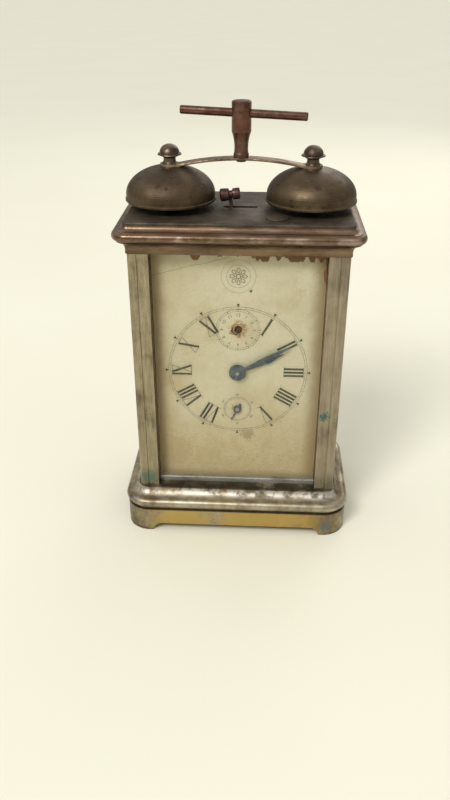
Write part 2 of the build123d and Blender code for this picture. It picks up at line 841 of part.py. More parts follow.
def movement_plate(back, centre_bore):
    with BuildPart() as plate:
        with BuildSketch(front_plane(back)):
            with Locations((0, plate_low)):
                RectangleRounded(plate_width, plate_height, 3.0)
            Circle(centre_bore, mode=Mode.SUBTRACT)
            with Locations(*small_pivots):
                Circle(arbor_radius + running_gap, mode=Mode.SUBTRACT)
            with Locations(*winding_pivots):
                Circle(winding_radius + running_gap, mode=Mode.SUBTRACT)
            with Locations(*pillar_layout):
                Circle(pillar_end_radius + seat_gap, mode=Mode.SUBTRACT)
        extrude(amount=plate_thickness)
    return plate.part


minute_stud = turned(
    minute_wheel_place,
    [
        (front_plate_y - 2.7, front_plate_y, minute_stud_radius),
    ],
)
spring_posts = [
    turned(
        (side * (winding_place[0] + spring_post_reach), winding_place[1]),
        [(front_plate_back_y, spring_back_y + 0.3, spring_post_radius)],
    )
    for side in (-1, 1)
]
with BuildPart() as front_plate:
    add(movement_plate(front_plate_back_y, centre_pipe_radius + running_gap))
    add(minute_stud)
    add(spring_posts)
finish_piece(front_plate, "front_plate")

regulator_boss_radius = 2.6
regulator_y = back_plate_back_y + 0.6
hairspring_y = back_plate_y - 3.6
hairspring_outer = 5.6
hairspring_stud_place = (balance_place[0] - hairspring_outer - 0.9, balance_place[1])
regulator_boss = turned(
    balance_place, [(back_plate_back_y, regulator_y + 1.2, regulator_boss_radius)]
)
hairspring_stud = turned(hairspring_stud_place, [(hairspring_y - 1.0, back_plate_y, 0.7)])
with BuildPart() as back_plate:
    add(movement_plate(back_plate_back_y, centre_pipe_radius + running_gap))
    add(regulator_boss)
    add(hairspring_stud)
    with BuildSketch(front_plane(regulator_y + 2, balance_place)):
        Circle(arbor_radius + running_gap)
    extrude(amount=plate_thickness + 4, mode=Mode.SUBTRACT)
finish_piece(back_plate, "back_plate")

with BuildPart() as plate_pillars:
    for place in pillar_layout:
        add(
            turned(
                place,
                [
                    (dial_back_y, front_plate_y, pillar_radius),
                    (front_plate_y, front_plate_back_y, pillar_end_radius),
                    (front_plate_back_y, back_plate_y, pillar_radius),
                    (back_plate_y, back_plate_back_y + 3.0, pillar_end_radius),
                ],
            )
        )
finish_piece(plate_pillars, "plate_pillars")

panel_screw_radius = 1.0
panel_screw_length = 6.0
with BuildPart() as pillar_standoffs:
    with BuildSketch(front_plane(panel_y)):
        with Locations(*pillar_layout):
            RegularPolygon(standoff_width / 2, 6)
    extrude(amount=panel_y - back_plate_back_y)
    with BuildSketch(front_plane(back_plate_back_y)):
        with Locations(*pillar_layout):
            Circle(pillar_end_radius + seat_gap)
    extrude(amount=-3.1, mode=Mode.SUBTRACT)
    with BuildSketch(front_plane(panel_y)):
        with Locations(*pillar_layout):
            Circle(panel_screw_radius + seat_gap)
    extrude(amount=panel_screw_length - pane_thickness, mode=Mode.SUBTRACT)
finish_piece(pillar_standoffs, "pillar_standoffs")

# Back panel: a brass sheet in the rear posts' grooves, with holes for everything set by hand
regulator_reach = 14.0
regulator_tip_place = (balance_place[0] + regulator_reach, balance_place[1])
stop_place = (14.0, 37.0)
stop_hub_radius = 1.5
knob_arbor_radius = 1.2
with BuildPart() as back_panel:
    with BuildSketch(front_plane(panel_back_y)):
        with Locations((0, dial_middle)):
            Rectangle(pane_width, pane_height)
        with Locations((0, 0), alarm_place):
            Circle(knob_arbor_radius + hole_gap, mode=Mode.SUBTRACT)
        with Locations(*winding_pivots):
            Circle(winding_radius + 2 * hole_gap, mode=Mode.SUBTRACT)
        with Locations(*pillar_layout):
            Circle(panel_screw_radius + screw_clearance, mode=Mode.SUBTRACT)
        with Locations(regulator_tip_place):
            SlotOverall(11.0, 3.4, rotation=90, mode=Mode.SUBTRACT)
        with Locations(stop_place):
            Circle(stop_hub_radius + running_gap, mode=Mode.SUBTRACT)
        with Locations((0, dial_high - 8)):
            with GridLocations(6, 5, 7, 2):
                Circle(1.3, mode=Mode.SUBTRACT)
    extrude(amount=pane_thickness)
finish_piece(back_panel, "back_panel")

with BuildPart() as back_panel_screws:
    for place in pillar_layout:
        add(
            turned(
                place,
                [
                    (panel_back_y - panel_screw_length, panel_back_y, panel_screw_radius),
                    (panel_back_y, panel_back_y + 1.2, 2.0),
                ],
            )
        )
    with BuildSketch(front_plane(panel_back_y + 1.2)):
        with Locations(*pillar_layout):
            Rectangle(4.0, 0.5)
    extrude(amount=0.5, mode=Mode.SUBTRACT)
finish_piece(back_panel_screws, "back_panel_screws")

# Winding sets: an open spring, its arbor with a ratchet, the great wheel, a click and a key
great_back_y = back_plate_y - 4.3
great_front_y = great_back_y - 1.2
ratchet_radius = 5.0
ratchet_depth = 1.0
ratchet_teeth = 14
key_front_y = panel_back_y + 1.2
key_hub_length = 3.4
key_wing_back_y = body_depth / 2 + plinth_band_offset - 0.4
key_wing_reach = 10.5
key_wing_thickness = 1.6
arbor_square_y = key_front_y + key_hub_length - 0.6


def mainspring(place, side):
    plane = Plane(
        origin=(place[0], spring_back_y, dial_centre_z + place[1]),
        x_dir=(-side, 0, 0),
        z_dir=(0, -1, 0),
    )
    coil = spiral_face(winding_radius + 1.0, spring_outer_radius, 5.5, spring_strip)
    with BuildPart() as spring:
        with BuildSketch(plane):
            add(coil)
        extrude(amount=spring_back_y - spring_front_y)
    return spring


def winding_arbor(place):
    ratchet = toothed(
        place, ratchet_points(ratchet_radius, ratchet_depth, ratchet_teeth, 4.0), great_back_y + 1.1, 0.9
    )
    steps = [
        (front_plate_y - 0.2, back_plate_back_y + 0.2, winding_radius),
        (back_plate_back_y, arbor_square_y, winding_radius - 0.1),
    ]
    shaft = turned(place, steps)
    with BuildPart() as arbor:
        add(shaft)
        add(ratchet)
    return arbor


def great_wheel(place, radius, teeth, phase, hub, rim):
    disc = toothed(
        place, wheel_points(radius, teeth, phase), great_back_y, great_back_y - great_front_y,
        winding_radius + running_gap,
    )
    windows = crossings(place, rim, hub, 5, great_back_y, great_back_y - great_front_y, 2.4)
    with BuildPart() as wheel:
        add(disc)
        add(windows, mode=Mode.SUBTRACT)
    return wheel


def click(place, side):
    """A pawl on the great wheel's back, just clear of the ratchet's tips."""
    pivot = polar(7.4, 90)
    tip = polar(ratchet_radius + 0.75, 90 + side * 38)
    pawl = arm(place, pivot, tip, 1.0, great_back_y + 1.0, 1.0)
    screw = turned((place[0] + pivot[0], place[1] + pivot[1]), [(great_back_y, great_back_y + 1.3, 1.1)])
    with BuildPart() as piece:
        add(pawl)
        add(screw)
    return piece


def winding_key(place):
    """A butterfly key: a hub on the arbor's end and two pierced wings."""
    hub = turned(place, [(key_front_y, key_front_y + key_hub_length, 3.2)])
    wing_plane = Plane(origin=(place[0], 0, dial_centre_z + place[1]), x_dir=(1, 0, 0), z_dir=(0, 0, 1))
    wing_front_y = key_front_y + 1.6
    wing_middle_y = (wing_front_y + key_wing_back_y) / 2
    wing_height = key_wing_back_y - wing_front_y
    with BuildPart() as key:
        add(hub)
        with BuildSketch(wing_plane):
            with Locations((0, wing_middle_y)):
                SlotOverall(2 * key_wing_reach, wing_height)
        extrude(amount=key_wing_thickness / 2, both=True)
        with BuildSketch(wing_plane):
            with Locations((-key_wing_reach * 0.62, wing_middle_y), (key_wing_reach * 0.62, wing_middle_y)):
                SlotOverall(wing_height * 0.95, wing_height * 0.45)
        extrude(amount=key_wing_thickness, both=True, mode=Mode.SUBTRACT)
        with BuildSketch(rear_plane(key_front_y, place)):
            Circle(winding_radius - 0.1 + seat_gap)
        extrude(amount=arbor_square_y - key_front_y + 0.1, mode=Mode.SUBTRACT)
    return key


time_mainspring = mainspring(winding_place, 1)
finish_piece(time_mainspring, "time_mainspring")
alarm_mainspring = mainspring(alarm_winding_place, -1)
finish_piece(alarm_mainspring, "alarm_mainspring")
time_winding_arbor = winding_arbor(winding_place)
finish_piece(time_winding_arbor, "time_winding_arbor")
alarm_winding_arbor = winding_arbor(alarm_winding_place)
finish_piece(alarm_winding_arbor, "alarm_winding_arbor")

centre = (0.0, 0.0)
great_radius = pitch_radius(winding_place, centre, great_teeth, centre_leaves)
centre_pinion_radius = pitch_radius(centre, winding_place, centre_leaves, great_teeth)
centre_pinion_phase = mesh_phase(0, great_teeth, centre_leaves, direction(winding_place, centre))
time_great_wheel = great_wheel(
    winding_place, great_radius, great_teeth, 0, 10.0, great_radius - 2.6
)
finish_piece(time_great_wheel, "time_great_wheel")
alarm_great_radius = pitch_radius(
    alarm_winding_place, alarm_escape_place, alarm_great_teeth, alarm_escape_leaves
)
alarm_great_wheel = great_wheel(
    alarm_winding_place, alarm_great_radius, alarm_great_teeth, 0, 9.6, alarm_great_radius - 2.4
)
finish_piece(alarm_great_wheel, "alarm_great_wheel")
time_click = click(winding_place, 1)
finish_piece(time_click, "time_click")
alarm_click = click(alarm_winding_place, -1)
finish_piece(alarm_click, "alarm_click")
time_key = winding_key(winding_place)
finish_piece(time_key, "time_key")
alarm_key = winding_key(alarm_winding_place)
finish_piece(alarm_key, "alarm_key")

# Going train: each arbor carries its wheel and its pinion
centre_wheel_back_y = front_plate_back_y + 2.3
third_pinion_back_y = front_plate_back_y + 3.1
third_wheel_back_y = front_plate_back_y + 4.6
fourth_pinion_back_y = front_plate_back_y + 5.3
fourth_wheel_back_y = front_plate_back_y + 7.2
escape_pinion_back_y = front_plate_back_y + 7.8
escape_wheel_back_y = front_plate_back_y + 10.1
arbor_front_y = front_plate_y - 0.1
arbor_back_y = back_plate_back_y + 0.2


def train_arbor(place, shaft, wheel, windows, pinion, bore=0.0):
    with BuildPart() as arbor:
        add(shaft)
        add(wheel)
        add(windows, mode=Mode.SUBTRACT)
        add(pinion)
        if bore:
            with BuildSketch(front_plane(back_y, place)):
                Circle(bore)
            extrude(amount=body_depth, mode=Mode.SUBTRACT)
    return arbor


centre_wheel_radius = pitch_radius(centre, third_place, centre_teeth, third_leaves)
third_pinion_phase = mesh_phase(0, centre_teeth, third_leaves, direction(centre, third_place))
centre_wheel = train_arbor(
    centre,
    turned(centre, [(front_plate_y - 0.1, arbor_back_y, centre_pipe_radius)]),
    toothed(centre, wheel_points(centre_wheel_radius, centre_teeth, 0), centre_wheel_back_y, wheel_thickness),
    crossings(centre, centre_wheel_radius - 1.9, 3.6, 5, centre_wheel_back_y, wheel_thickness),
    toothed(
        centre,
        pinion_points(centre_pinion_radius, centre_leaves, centre_pinion_phase),
        great_back_y + 0.4,
        2.0,
    ),
    arbor_radius + running_gap,
)
finish_piece(centre_wheel, "centre_wheel")

third_pinion_radius = pitch_radius(third_place, centre, third_leaves, centre_teeth)
third_wheel_radius = pitch_radius(third_place, seconds_place, third_teeth, fourth_leaves)
third_turn = direction(third_place, seconds_place)
third_wheel = train_arbor(
    third_place,
    turned(third_place, [(arbor_front_y, arbor_back_y, arbor_radius)]),
    toothed(
        third_place, wheel_points(third_wheel_radius, third_teeth, third_turn), third_wheel_back_y, wheel_thickness
    ),
    crossings(third_place, third_wheel_radius - 1.8, 3.0, 5, third_wheel_back_y, wheel_thickness),
    toothed(
        third_place,
        pinion_points(third_pinion_radius, third_leaves, third_pinion_phase),
        third_pinion_back_y,
        2.3,
    ),
)
finish_piece(third_wheel, "third_wheel")

fourth_pinion_radius = pitch_radius(seconds_place, third_place, fourth_leaves, third_teeth)
fourth_wheel_radius = pitch_radius(seconds_place, escape_place, fourth_teeth, escape_leaves)
fourth_pinion_phase = mesh_phase(third_turn, third_teeth, fourth_leaves, third_turn)
fourth_turn = direction(seconds_place, escape_place)
seconds_tip_y = paper_y - 0.8
fourth_wheel = train_arbor(
    seconds_place,
    turned(seconds_place, [(seconds_tip_y, arbor_back_y, arbor_radius)]),
    toothed(
        seconds_place,
        wheel_points(fourth_wheel_radius, fourth_teeth, fourth_turn),
        fourth_wheel_back_y,
        0.7,
    ),
    crossings(seconds_place, fourth_wheel_radius - 1.5, 2.6, 4, fourth_wheel_back_y, 0.7, 1.0),
    toothed(
        seconds_place,
        pinion_points(fourth_pinion_radius, fourth_leaves, fourth_pinion_phase),
        fourth_pinion_back_y,
        2.2,
    ),
)
finish_piece(fourth_wheel, "fourth_wheel")

escape_pinion_radius = pitch_radius(escape_place, seconds_place, escape_leaves, fourth_teeth)
escape_pinion_phase = mesh_phase(fourth_turn, fourth_teeth, escape_leaves, fourth_turn)
escape_arbor_radius = 0.6
escape_wheel = train_arbor(
    escape_place,
    turned(
        escape_place,
        [
            (arbor_front_y, front_plate_back_y + 1, arbor_radius),
            (front_plate_back_y, back_plate_y, escape_arbor_radius),
            (back_plate_y - 1, arbor_back_y, arbor_radius),
        ],
    ),
    toothed(escape_place, ratchet_points(escape_radius, 1.3, escape_teeth, 6.0), escape_wheel_back_y, 0.6),
    crossings(escape_place, escape_radius - 2.0, 1.6, 4, escape_wheel_back_y, 0.6, 0.8),
    toothed(
        escape_place,
        pinion_points(escape_pinion_radius, escape_leaves, escape_pinion_phase),
        escape_pinion_back_y,
        2.0,
    ),
)
finish_piece(escape_wheel, "escape_wheel")

# Pin pallet lever: two pins stand over the escape wheel, and a fork reaches for the balance
pallet_pin_radius = 0.35
pallet_pin_distance = 6.6
pallet_turn = direction(escape_place, pallet_place)
lever_back_y = escape_wheel_back_y - 1.1
fork_length = 8.0
pallet_pins = []
for pin_turn in (pallet_turn - 36, pallet_turn + 36):
    pin_x, pin_z = polar(pallet_pin_distance, pin_turn, escape_place)
    pallet_pins.append((pin_x - pallet_place[0], pin_z - pallet_place[1]))
lever_arms = [arm(pallet_place, centre, pin, 1.2, lever_back_y, 0.6) for pin in pallet_pins]
fork_arm = arm(pallet_place, centre, polar(fork_length, 180), 1.2, lever_back_y, 0.6)
poise_place = polar(3.8, -52)  # the tail that balances the lever about its arbor
poise_arm = arm(pallet_place, centre, poise_place, 1.2, lever_back_y, 0.6)
with BuildPart() as pallet_lever:
    add(turned(pallet_place, [(arbor_front_y, arbor_back_y, arbor_radius)]))
    add(lever_arms)
    add(fork_arm)
    add(poise_arm)
    with BuildSketch(front_plane(lever_back_y, pallet_place)):
        with Locations(poise_place):
            Circle(1.3)
    extrude(amount=0.6)
    with BuildSketch(front_plane(escape_wheel_back_y + 0.2, pallet_place)):
        with Locations(*pallet_pins):
            Circle(pallet_pin_radius)
    extrude(amount=1.6)
finish_piece(pallet_lever, "pallet_lever")

# Balance: a plain rim on two arms, with a roller for the fork
balance_back_y = back_plate_y - 5.0
balance_front_y = balance_back_y - 1.5
with BuildPart() as balance_wheel:
    add(turned(balance_place, [(arbor_front_y, regulator_y + 1.0, arbor_radius)]))
    with BuildSketch(front_plane(balance_back_y, balance_place)):
        Circle(balance_radius)
        Circle(balance_radius - 1.1, mode=Mode.SUBTRACT)
        Rectangle(2 * balance_radius - 1.0, 1.6)
        Circle(2.2)
    extrude(amount=balance_back_y - balance_front_y)
    with BuildSketch(front_plane(lever_back_y + 0.2, balance_place)):
        Circle(1.5)
    extrude(amount=1.0)
finish_piece(balance_wheel, "balance_wheel")

hairspring_face = spiral_face(arbor_radius + 0.6, hairspring_outer, 6, 0.2)
hairspring_plane = Plane(
    origin=(balance_place[0], hairspring_y, dial_centre_z + balance_place[1]), x_dir=(1, 0, 0), z_dir=(0, -1, 0)
)
with BuildPart() as hairspring:
    with BuildSketch(hairspring_plane):
        add(hairspring_face)
    extrude(amount=0.8)
finish_piece(hairspring, "hairspring")

# Regulator: an eye that turns on the back plate's boss, with a finger through the back panel
regulator_tip_y = panel_back_y + 2.6
regulator_arm = arm(
    balance_place, (0, 0), (regulator_reach, 0), 2.4, regulator_y + 1.0, 0.9
)
with BuildPart() as regulator_lever:
    add(regulator_arm)
    add(turned(balance_place, [(regulator_y + 0.1, regulator_y + 1.0, regulator_boss_radius + 1.3)]))
    with BuildSketch(front_plane(back_y, balance_place)):
        Circle(regulator_boss_radius + running_gap)
    extrude(amount=body_depth / 2, mode=Mode.SUBTRACT)
    add(turned(regulator_tip_place, [(regulator_y + 0.1, regulator_tip_y, 1.0)]))
finish_piece(regulator_lever, "regulator_lever")

# Motion work behind the dial
cannon_pipe_radius = 1.7
cannon_back_y = front_plate_y - 0.3
hour_wheel_back_y = front_plate_y - 1.5
hour_hand_back_y = paper_y - 0.9
minute_hand_back_y = hour_hand_back_y - hand_thickness - 0.4
cannon_radius = minute_wheel_distance * cannon_leaves / (cannon_leaves + minute_teeth)
minute_wheel_radius = minute_wheel_distance * minute_teeth / (cannon_leaves + minute_teeth)
minute_pinion_radius = minute_wheel_distance * minute_leaves / (minute_leaves + hour_teeth)
hour_radius = minute_wheel_distance * hour_teeth / (minute_leaves + hour_teeth)
minute_wheel_phase = mesh_phase(0, cannon_leaves, minute_teeth, minute_wheel_angle)
minute_pinion_phase = mesh_phase(0, hour_teeth, minute_leaves, minute_wheel_angle)
alarm_wheel_phase = mesh_phase(0, hour_teeth, hour_teeth, 90)
alarm_wheel_radius = subdial_distance / 2
knob_back_y = panel_back_y + 6.5
knob_front_y = panel_back_y + 1.0

with BuildPart() as centre_arbor:
    add(
        turned(
            centre,
            [
                (minute_hand_back_y - hand_thickness - 0.5, arbor_back_y + 1.0, arbor_radius),
                (arbor_back_y + 0.5, knob_back_y - 1.0, knob_arbor_radius),
            ],
        )
    )
finish_piece(centre_arbor, "centre_arbor")

cannon_teeth = toothed(
    centre, pinion_points(cannon_radius, cannon_leaves, 0), cannon_back_y, wheel_thickness
)
with BuildPart() as cannon_pinion:
    add(cannon_teeth)
    add(turned(centre, [(minute_hand_back_y - hand_thickness - 0.1, cannon_back_y, cannon_pipe_radius)]))
    with BuildSketch(front_plane(back_y)):
        Circle(arbor_radius + seat_gap)
    extrude(amount=body_depth, mode=Mode.SUBTRACT)
finish_piece(cannon_pinion, "cannon_pinion")

minute_wheel = train_arbor(
    minute_wheel_place,
    turned(minute_wheel_place, [(hour_wheel_back_y - wheel_thickness, cannon_back_y, minute_stud_radius + 0.6)]),
    toothed(
        minute_wheel_place,
        wheel_points(minute_wheel_radius, minute_teeth, minute_wheel_phase),
        cannon_back_y,
        wheel_thickness,
    ),
    crossings(minute_wheel_place, minute_wheel_radius - 2.0, 3.4, 4, cannon_back_y, wheel_thickness),
    toothed(
        minute_wheel_place,
        pinion_points(minute_pinion_radius, minute_leaves, minute_pinion_phase),
        cannon_back_y - wheel_thickness / 2,
        cannon_back_y - hour_wheel_back_y + wheel_thickness / 2,
    ),
    minute_stud_radius + running_gap,
)
finish_piece(minute_wheel, "minute_wheel")

with BuildPart() as hour_wheel:
    add(toothed(centre, wheel_points(hour_radius, hour_teeth, 0), hour_wheel_back_y, wheel_thickness))
    add(crossings(centre, hour_radius - 2.0, 3.8, 4, hour_wheel_back_y, wheel_thickness), mode=Mode.SUBTRACT)
    add(
        turned(
            centre,
            [(hour_hand_back_y - hand_thickness - 0.1, hour_wheel_back_y, hour_pipe_radius)],
        )
    )
    with BuildSketch(front_plane(back_y)):
        Circle(cannon_pipe_radius + running_gap)
    extrude(amount=body_depth, mode=Mode.SUBTRACT)
finish_piece(hour_wheel, "hour_wheel")

with BuildPart() as alarm_wheel:
    add(
        toothed(
            alarm_place,
            wheel_points(alarm_wheel_radius, hour_teeth, alarm_wheel_phase),
            hour_wheel_back_y,
            wheel_thickness,
            arbor_radius + running_gap,
        )
    )
    add(
        crossings(alarm_place, alarm_wheel_radius - 2.0, 3.4, 4, hour_wheel_back_y, wheel_thickness),
        mode=Mode.SUBTRACT,
    )
finish_piece(alarm_wheel, "alarm_wheel")

# Alarm setting arbor, with a cam collar behind the alarm wheel
with BuildPart() as alarm_set_arbor:
    add(
        turned(
            alarm_place,
            [
                (paper_y - 0.6, dial_back_y + 0.1, alarm_tip_radius),
                (dial_back_y, arbor_back_y + 1.0, arbor_radius),
                (hour_wheel_back_y + 0.1, hour_wheel_back_y + 0.9, 2.4),
                (arbor_back_y + 0.5, knob_back_y - 1.0, knob_arbor_radius),
            ],
        )
    )
finish_piece(alarm_set_arbor, "alarm_set_arbor")


# Setting knobs: knurled brass discs on the arbors' rear ends
def setting_knob(place):
    with BuildPart() as knob:
        with BuildSketch(rear_plane(knob_front_y, place)):
            Circle(4.6)
            with PolarLocations(4.6, 24):
                Circle(0.28, mode=Mode.SUBTRACT)
        extrude(amount=knob_back_y - knob_front_y)
        fillet(knob.faces().sort_by(Axis.Y)[-1].outer_wire().edges(), 0.2)
        with BuildSketch(rear_plane(knob_front_y, place)):
            Circle(knob_arbor_radius + seat_gap)
        extrude(amount=knob_back_y - 1.0 - knob_front_y + seat_gap, mode=Mode.SUBTRACT)
    return knob


hand_set_knob = setting_knob(centre)
finish_piece(hand_set_knob, "hand_set_knob")
alarm_set_knob = setting_knob(alarm_place)
finish_piece(alarm_set_knob, "alarm_set_knob")


# Hands
def hand(place, clock_angle, back, hub, bore, side_points, tail_points):
    """A flat hand: its outline is given along its length, and mirrored across it."""
    with BuildSketch(Plane.XY) as outline:
        Circle(hub)
        for points in (side_points, tail_points):
            if points:
                with BuildLine():
                    Spline(*points)
                    Spline(*[(along, -across) for along, across in points])
                    Line((points[0][0], points[0][1]), (points[0][0], -points[0][1]))
                    Line((points[-1][0], points[-1][1]), (points[-1][0], -points[-1][1]))
                make_face()
        Circle(bore, mode=Mode.SUBTRACT)
    turned_outline = outline.sketch.rotate(Axis.Z, 90 - clock_angle)
    with BuildPart() as piece:
        with BuildSketch(front_plane(back, place)):
            add(turned_outline)
        extrude(amount=hand_thickness)
    return piece


minute_side = [(2.5, 0.8), (9, 0.95), (15, 1.1), (22, 0.75), (minute_hand_length, 0.15)]
hour_side = [(2.5, 0.95), (8.5, 1.05), (12.5, 1.35), (15.5, 1.55), (18.5, 1.0), (hour_hand_length, 0.1)]
seconds_side = [(1, 0.35), (4, 0.3), (seconds_hand_length, 0.15)]
seconds_tail = [(-1, 0.4), (-2, 0.5), (-3.2, 0.6)]
minute_hand = hand(
    centre, minute_hand_angle, minute_hand_back_y, hand_hub_radius, cannon_pipe_radius + seat_gap, minute_side, []
)
finish_piece(minute_hand, "minute_hand")
hour_hand = hand(
    centre, hour_hand_angle, hour_hand_back_y, hand_hub_radius, hour_pipe_radius + seat_gap, hour_side, []
)
finish_piece(hour_hand, "hour_hand")
seconds_hand = hand(
    seconds_place,
    seconds_hand_angle,
    paper_y - 0.3,
    1.9,
    arbor_radius + seat_gap,
    seconds_side,
    seconds_tail,
)
finish_piece(seconds_hand, "seconds_hand")

# Alarm escape wheel, driven by the alarm great wheel
alarm_wheel_back_y = front_plate_back_y + 3.8
alarm_pinion_radius = pitch_radius(
    alarm_escape_place, alarm_winding_place, alarm_escape_leaves, alarm_great_teeth
)
alarm_pinion_phase = mesh_phase(
    0, alarm_great_teeth, alarm_escape_leaves, direction(alarm_winding_place, alarm_escape_place)
)
alarm_escape_wheel = train_arbor(
    alarm_escape_place,
    turned(alarm_escape_place, [(arbor_front_y, arbor_back_y, arbor_radius)]),
    toothed(
        alarm_escape_place,
        ratchet_points(alarm_escape_radius, 1.5, alarm_escape_teeth, 5.0),
        alarm_wheel_back_y,
        wheel_thickness,
    ),
    crossings(alarm_escape_place, alarm_escape_radius - 2.4, 2.2, 4, alarm_wheel_back_y, wheel_thickness),
    toothed(
        alarm_escape_place,
        pinion_points(alarm_pinion_radius, alarm_escape_leaves, alarm_pinion_phase),
        great_back_y + 0.4,
        2.0,
    ),
)
finish_piece(alarm_escape_wheel, "alarm_escape_wheel")

# Hammer: an arbor with two verge arms, a wire up through the top plate and a double head
verge_turn = direction(hammer_place, alarm_escape_place)
verge_arms = [
    arm(hammer_place, centre, polar(7.8, verge_turn + side * 25), 1.0, alarm_wheel_back_y, wheel_thickness)
    for side in (-1, 1)
]
lean = math.radians(hammer_lean)
hammer_axis_z = dial_centre_z + hammer_place[1]
wire_plane = Plane(
    origin=(hammer_place[0], 0, hammer_axis_z),
    x_dir=(0, 1, 0),
    z_dir=(-math.sin(lean), 0, math.cos(lean)),
)
head_x = hammer_place[0] - hammer_reach * math.sin(lean)
head_z = hammer_axis_z + hammer_reach * math.cos(lean)
head_plane = Plane(origin=(head_x, 0, head_z), x_dir=(math.cos(lean), 0, math.sin(lean)), z_dir=(0, -1, 0))
half_head = hammer_head_length / 2
with BuildPart() as hammer:
    add(turned(hammer_place, [(arbor_front_y, arbor_back_y, arbor_radius)]))
    add(verge_arms)
    add(turned(hammer_place, [(-1.6, 1.6, 2.2)]))
    with BuildSketch(wire_plane):
        Circle(hammer_wire_radius)
    extrude(amount=hammer_reach)
    with BuildSketch(head_plane):
        with BuildLine():
            Polyline(
                (-half_head, 0),
                (-half_head, hammer_head_radius - 0.5),
                (-half_head + 0.5, hammer_head_radius),
                (-0.6, hammer_head_radius - 0.2),
                (-0.2, 1.6),
                (0.9, 1.6),
                (1.3, hammer_head_radius - 0.4),
                (half_head - 0.4, hammer_head_radius - 0.3),
                (half_head, hammer_head_radius - 0.7),
                (half_head, 0),
                close=True,
            )
        make_face()
    revolve(axis=Axis((head_x, 0, head_z), (math.cos(lean), 0, math.sin(lean))))
finish_piece(hammer, "hammer")

# Alarm stop lever on the back panel
with BuildPart() as stop_lever:
    add(turned(stop_place, [(panel_y - 1.2, panel_back_y + 0.2, stop_hub_radius)]))
    add(turned(stop_place, [(panel_y - 1.2, panel_y - 0.2, stop_hub_radius + 1.0)]))
    add(arm(stop_place, (0, 0), (11.0, 0), 3.6, panel_back_y + 1.3, 1.1))
    add(turned((stop_place[0] + 11.0, stop_place[1]), [(panel_back_y + 1.2, panel_back_y + 3.6, 1.4)]))
finish_piece(stop_lever, "stop_lever")
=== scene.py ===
import json
import math
import random
import bmesh
import bpy
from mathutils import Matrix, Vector


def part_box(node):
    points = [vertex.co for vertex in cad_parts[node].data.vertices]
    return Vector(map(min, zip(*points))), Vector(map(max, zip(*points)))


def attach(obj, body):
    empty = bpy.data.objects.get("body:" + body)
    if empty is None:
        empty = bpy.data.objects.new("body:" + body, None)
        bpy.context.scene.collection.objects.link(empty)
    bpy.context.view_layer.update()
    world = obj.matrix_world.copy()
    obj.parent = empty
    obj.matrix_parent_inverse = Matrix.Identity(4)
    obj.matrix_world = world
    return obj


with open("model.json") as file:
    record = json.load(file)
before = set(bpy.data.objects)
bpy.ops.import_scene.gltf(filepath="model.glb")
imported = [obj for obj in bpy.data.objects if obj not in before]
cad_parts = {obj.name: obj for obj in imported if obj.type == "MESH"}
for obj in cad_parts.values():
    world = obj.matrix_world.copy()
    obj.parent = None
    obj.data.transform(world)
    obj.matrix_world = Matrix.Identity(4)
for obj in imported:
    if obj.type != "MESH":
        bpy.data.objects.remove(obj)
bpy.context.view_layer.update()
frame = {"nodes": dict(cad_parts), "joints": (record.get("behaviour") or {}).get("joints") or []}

nodes = frame["nodes"]
jointPlace = {joint["name"]: Vector(joint["pos_m"]) for joint in frame["joints"] if "pos_m" in joint}
mm = 0.001

# Places that the marks, the printing and the stains are measured from
paperLow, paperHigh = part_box("dial_paper")
plinthLow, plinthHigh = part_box("plinth")
corniceLow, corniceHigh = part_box("cornice")
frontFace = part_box("front_right_post")[0].y
paperFace = paperLow.y
plinthTop = plinthHigh.z
dialCentre = jointPlace["hand_set_turn"]
alarmCentre = jointPlace["alarm_set_turn"]
secondsCentre = jointPlace["train_turn"]
print("frame loaded:", len(nodes), "nodes")


# Links a socket, or sets a plain value
def socketOf(tree, value, target):
    if isinstance(value, bpy.types.NodeSocket):
        tree.links.new(value, target)
    else:
        target.default_value = value


def mathOf(tree, operation, first, second=0.0):
    node = tree.nodes.new("ShaderNodeMath")
    node.operation = operation
    socketOf(tree, first, node.inputs[0])
    socketOf(tree, second, node.inputs[1])
    return node.outputs[0]


def mixOf(tree, factor, first, second):
    node = tree.nodes.new("ShaderNodeMix")
    node.data_type = "RGBA"
    socketOf(tree, factor, node.inputs["Factor"])
    socketOf(tree, first, node.inputs[6])   # 6, 7 and output 2 are the colour sockets of a Mix node
    socketOf(tree, second, node.inputs[7])
    return node.outputs[2]


def rangeOf(tree, value, low, high, newLow=0.0, newHigh=1.0):
    node = tree.nodes.new("ShaderNodeMapRange")
    node.interpolation_type = "SMOOTHSTEP"
    socketOf(tree, value, node.inputs[0])
    for index, edge in enumerate((low, high, newLow, newHigh)):
        socketOf(tree, edge, node.inputs[index + 1])
    return node.outputs[0]


def noiseOf(tree, place, scale, detail=4.0, roughness=0.55):
    node = tree.nodes.new("ShaderNodeTexNoise")
    socketOf(tree, place, node.inputs["Vector"])
    socketOf(tree, scale, node.inputs["Scale"])
    node.inputs["Detail"].default_value = detail
    node.inputs["Roughness"].default_value = roughness
    return node.outputs["Fac"]


def axesOf(tree, place):
    node = tree.nodes.new("ShaderNodeSeparateXYZ")
    tree.links.new(place, node.inputs[0])
    return node.outputs


def stretched(tree, place, stretch):
    node = tree.nodes.new("ShaderNodeVectorMath")
    node.operation = "MULTIPLY"
    tree.links.new(place, node.inputs[0])
    node.inputs[1].default_value = stretch
    return node.outputs[0]


def newGroup(name, inputs, outputs):
    tree = bpy.data.node_groups.new(name, "ShaderNodeTree")
    for label, kind, value in inputs:
        entry = tree.interface.new_socket(name=label, in_out="INPUT", socket_type=kind)
        if value is not None:
            entry.default_value = value
    for label, kind in outputs:
        tree.interface.new_socket(name=label, in_out="OUTPUT", socket_type=kind)
    return tree, tree.nodes.new("NodeGroupInput").outputs, tree.nodes.new("NodeGroupOutput").inputs


